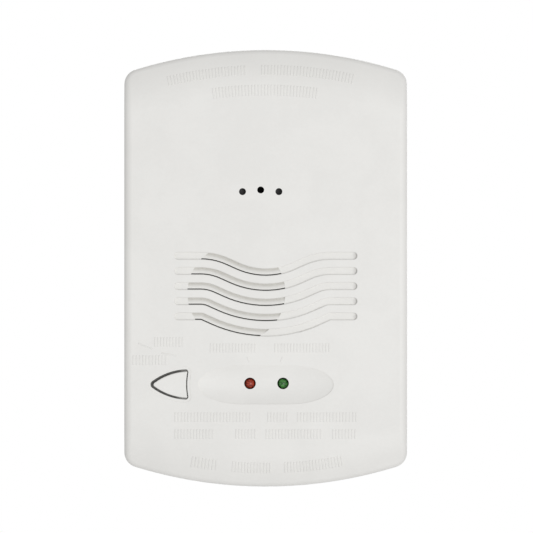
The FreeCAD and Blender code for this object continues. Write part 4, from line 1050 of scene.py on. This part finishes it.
@dataclass
class MainBoard:
    """The circuit board and the small parts on it."""

    laminate: Finish = Laminate("green_laminate", paint(24, 84, 46), paint(58, 132, 70))
    relays: Finish = Moulded("relay_blue", paint(40, 92, 168), paint(26, 70, 138), grain=0.3)
    sleeves: Finish = Moulded("sleeve_film", paint(40, 44, 66), paint(24, 26, 44), grain=0.8, depth=0.004,
                              gloss=(0.18, 0.34))
    tops: Finish = Metal("bare_aluminium", paint(214, 216, 220), paint(182, 184, 188), Lay.ALONG_X, 0.25)
    ferrite: Finish = Fired("ferrite", paint(74, 72, 72), paint(42, 40, 40), 0.3, (0.5, 0.7), 0.0)
    wire: Finish = Enamelled("enamelled_copper", paint(206, 112, 58), paint(142, 62, 28))
    resin: Finish = Moulded("chip_resin", paint(44, 44, 46), paint(30, 30, 32), grain=0.12, depth=0.004,
                            gloss=(0.5, 0.66))
    glass: Finish = Fired("diode_glass", paint(190, 92, 52), paint(132, 52, 26), 0.6, (0.08, 0.16), 0.7)
    chips: Finish = Fired("chip_ceramic", paint(196, 160, 116), paint(164, 126, 84), 0.2)
    steel: Finish = Metal("board_tinned", paint(206, 208, 210), paint(164, 164, 162), Lay.ALONG_Y, 0.2)
    can: Finish = Metal("crystal_can", paint(204, 204, 200), paint(172, 170, 164), Lay.ALONG_X, 0.3)
    gold: Finish = Metal("gold_flash", paint(226, 184, 92), paint(190, 146, 62), Lay.ALONG_Y, 0.2)
    header: Finish = Moulded("header_black", paint(38, 38, 40), paint(26, 26, 28), grain=0.25)
    solder: Finish = Metal("solder", paint(214, 216, 218), paint(176, 176, 174), Lay.NONE, 0.15,
                           (0.12, 0.26), 0.8)
    wire_radius: float = 0.2
    joint_radius: float = 0.75
    joint_tall: float = 0.6
    pinned: tuple[str, ...] = ("terminal_pins", "relay_pins", "header_pins", "sounder_pins", "co_cell_tabs",
                               "lamp_leads", "switch_leads", "transistors")

    def dress(self, shop: Paintshop) -> None:
        """Dresses the board's CAD nodes."""
        shop.dress_nodes(self.laminate, "circuit_board")
        shop.dress_nodes(self.relays, "alarm_relay", "trouble_relay")
        shop.dress_nodes(self.sleeves, "capacitor_sleeves")
        shop.dress_nodes(self.tops, "capacitor_tops")
        shop.dress_nodes(self.ferrite, "coil_core")
        shop.dress_nodes(self.wire, "coil_winding")
        shop.dress_nodes(self.resin, "microcontroller", "transistors", "chip_resistors")
        shop.dress_nodes(self.glass, "diodes")
        shop.dress_nodes(self.chips, "chip_capacitors")
        shop.dress_nodes(self.steel, "relay_pins", "microcontroller_leads")
        shop.dress_nodes(self.can, "crystal")
        shop.dress_nodes(self.gold, "header_pins")
        shop.dress_nodes(self.header, "test_header")

    def pin_places(self, back: float) -> list[tuple[float, float]]:
        """Where pins and leads come through the board.

        Args:
            back: y of the board's back face, in millimetres.

        Returns:
            The middle of each pin as it leaves the back face, x and z.
        """
        found = []
        for node in self.pinned:
            work = bmesh.new()
            work.from_mesh(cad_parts[node].data)
            bmesh.ops.remove_doubles(work, verts=work.verts, dist=1e-6)
            left = set(work.verts)
            while left:
                edge, island = [left.pop()], []
                while edge:
                    vert = edge.pop()
                    island.append(vert.co / MM)
                    near = {link.other_vert(vert) for link in vert.link_edges} & left
                    left -= near
                    edge += near
                through = [co for co in island if co.y > back - 0.2]
                if through and min(co.y for co in island) < back:
                    low_x, high_x = min(co.x for co in through), max(co.x for co in through)
                    low_z, high_z = min(co.z for co in through), max(co.z for co in through)
                    if max(high_x - low_x, high_z - low_z) < 2 * self.joint_radius + 0.4:
                        found.append(((low_x + high_x) / 2, (low_z + high_z) / 2))
            work.free()
        return found

    def build_solder(self, shop: Paintshop) -> None:
        """Builds a solder fillet round every pin: a low cone drawn in twice on its way up the pin."""
        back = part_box("circuit_board")[1].y / MM
        joint = Workpiece.drum("joint", (0, back + 0.04, 0), self.joint_radius, 0.12, 12)
        joint.pick(lambda at, normal: normal.y > 0.9).extrude(y=self.joint_tall * 0.35)
        joint.resize((0.62, 1.0, 0.62), (0, back, 0))
        joint.extrude(y=self.joint_tall * 0.65).resize((0.68, 1.0, 0.68), (0, back, 0))
        places = [Matrix.Translation(Vector((x, 0, z)) * MM) for x, z in self.pin_places(back)]
        joints = joint.copies("solder_joints", places)
        joints.smooth(50.0).done(shop, self.solder, Body.DETECTOR, Slot.STEEL)

    def build_coil(self, shop: Paintshop) -> None:
        """Winds the coil: a round wire swept round and along its core, turn against turn."""
        low, high = (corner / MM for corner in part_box("coil_winding"))
        at = middle("coil_winding")
        turns = int((high.y - low.y) / (2 * self.wire_radius)) - 1
        reach = (high.x - low.x) / 2 - self.wire_radius
        Workpiece.clear()
        bpy.ops.mesh.primitive_circle_add(vertices=8, radius=self.wire_radius * MM, fill_type="NOTHING",
                                          location=(reach * MM, 0, 0))
        wire = Workpiece("coil_turns").settle()
        wire.modifier("SCREW", axis="Y", angle=turns * math.tau, steps=36, render_steps=36,
                      screw_offset=turns * 2 * self.wire_radius * MM, use_merge_vertices=False)
        wire.pick_edges(lambda a, b: True)
        bpy.ops.mesh.select_mode(type="VERT")
        bpy.ops.mesh.select_all(action="SELECT")
        bpy.ops.mesh.fill_holes(sides=12)
        bpy.ops.mesh.normals_make_consistent(inside=False)
        wire.select()
        wire.thing.data.transform(Matrix.Translation(Vector((at.x, low.y + self.wire_radius, at.z)) * MM))
        wire.smooth(60.0)
        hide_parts("coil_winding")
        wire.done(shop, self.wire, Body.DETECTOR, Slot.COPPER)


@dataclass
class Studio:
    """A pale floor, soft light from the front, and the camera straight ahead."""

    board: Finish = StudioBoard("studio_board", paint(246, 245, 243), paint(242, 241, 239))
    floor_z: float = -260.0
    floor_radius: float = 620.0
    camera_at: Point = (0.24, -2433.0, 0.53)
    lens: float = 547.5
    surround: float = 0.58

    def build(self, shop: Paintshop) -> None:
        """Builds the floor, the lights, the world and the camera."""
        self.floor(shop)
        self.world()
        self.light("softbox", (470.0, -1500.0, -200.0), 900.0, 9.8)
        self.light("back_fill", (300.0, 1500.0, 500.0), 1300.0, 10.0)
        self.floor_light()
        self.camera()

    def floor(self, shop: Paintshop) -> None:
        """Builds the floor: a thin disc with a rolled edge."""
        floor = Workpiece.drum("studio_floor", (0, 0, 0), self.floor_radius, 12.0, 96)
        floor.thing.data.transform(Matrix.Translation((0, 0, (self.floor_z - 6.0) * MM))
                                   @ Matrix.Rotation(math.pi / 2, 4, "X"))
        floor.pick(lambda at, normal: abs(normal.z) > 0.9).bevel(3.0, 3)
        floor.smooth(40.0)
        floor.clear()
        shop.dress(floor.thing, self.board)
        floor.thing.visible_diffuse = False

    def world(self) -> None:
        """Sets an even grey surround that the camera sees as white."""
        world = bpy.data.worlds.new("studio_surround")
        bpy.context.scene.world = world
        world.use_nodes = True
        tree = world.node_tree
        tree.nodes.clear()
        ray = tree.nodes.new("ShaderNodeLightPath")
        light = tree.nodes.new("ShaderNodeBackground")
        light.inputs["Color"].default_value = (1, 1, 1, 1)
        light.inputs["Strength"].default_value = self.surround
        seen = tree.nodes.new("ShaderNodeBackground")
        seen.inputs["Color"].default_value = (1, 1, 1, 1)
        seen.inputs["Strength"].default_value = 1.0
        mix = tree.nodes.new("ShaderNodeMixShader")
        out = tree.nodes.new("ShaderNodeOutputWorld")
        tree.links.new(ray.outputs["Is Camera Ray"], mix.inputs["Fac"])
        tree.links.new(light.outputs[0], mix.inputs[1])
        tree.links.new(seen.outputs[0], mix.inputs[2])
        tree.links.new(mix.outputs[0], out.inputs["Surface"])

    def light(self, name: str, at: Point, size: float, watts: float) -> None:
        """Hangs a square soft light aimed at the object.

        Args:
            name: the light's name.
            at: its place.
            size: the length of its side.
            watts: its power.
        """
        data = bpy.data.lights.new(name, "AREA")
        data.size = size * MM
        data.energy = watts
        lamp = bpy.data.objects.new(name, data)
        bpy.context.scene.collection.objects.link(lamp)
        lamp.location = Vector(at) * MM
        lamp.visible_camera = False
        lamp.rotation_euler = (-lamp.location).to_track_quat("-Z", "Y").to_euler()

    def floor_light(self) -> None:
        """Hangs a wide light over the floor that reaches only the floor."""
        self.light("floor_light", (0.0, -100.0, 1500.0), 1600.0, 14.0)
        only = bpy.data.collections.new("floor_only")
        only.objects.link(bpy.data.objects["studio_floor"])
        bpy.data.objects["floor_light"].light_linking.receiver_collection = only

    def camera(self) -> None:
        """Sets up the camera, looking along +Y."""
        data = bpy.data.cameras.new("camera")
        data.lens = self.lens
        data.sensor_width = 36.0
        camera = bpy.data.objects.new("camera", data)
        bpy.context.scene.collection.objects.link(camera)
        camera.location = Vector(self.camera_at) * MM
        camera.rotation_euler = (math.pi / 2, 0, 0)
        bpy.context.scene.camera = camera
        bpy.context.scene.view_settings.view_transform = "Standard"


def main() -> None:
    """Builds and dresses each sub-assembly in turn, then the studio."""
    logging.basicConfig(level=logging.INFO, format="%(name)s: %(message)s")
    shop = Paintshop()
    housing = Housing()
    housing.dress(shop)
    FaceMarks().build(shop, housing.white)
    WallPlate().dress(shop)
    lamps = Lamps()
    lamps.dress(shop)
    lamps.build(shop)
    GasCell().dress(shop)
    Sounder().dress(shop)
    TestSwitch().dress(shop)
    TerminalEnd().dress(shop)
    board = MainBoard()
    board.dress(shop)
    board.build_solder(shop)
    board.build_coil(shop)
    Studio().build(shop)


if __name__ == "__main__":
    main()
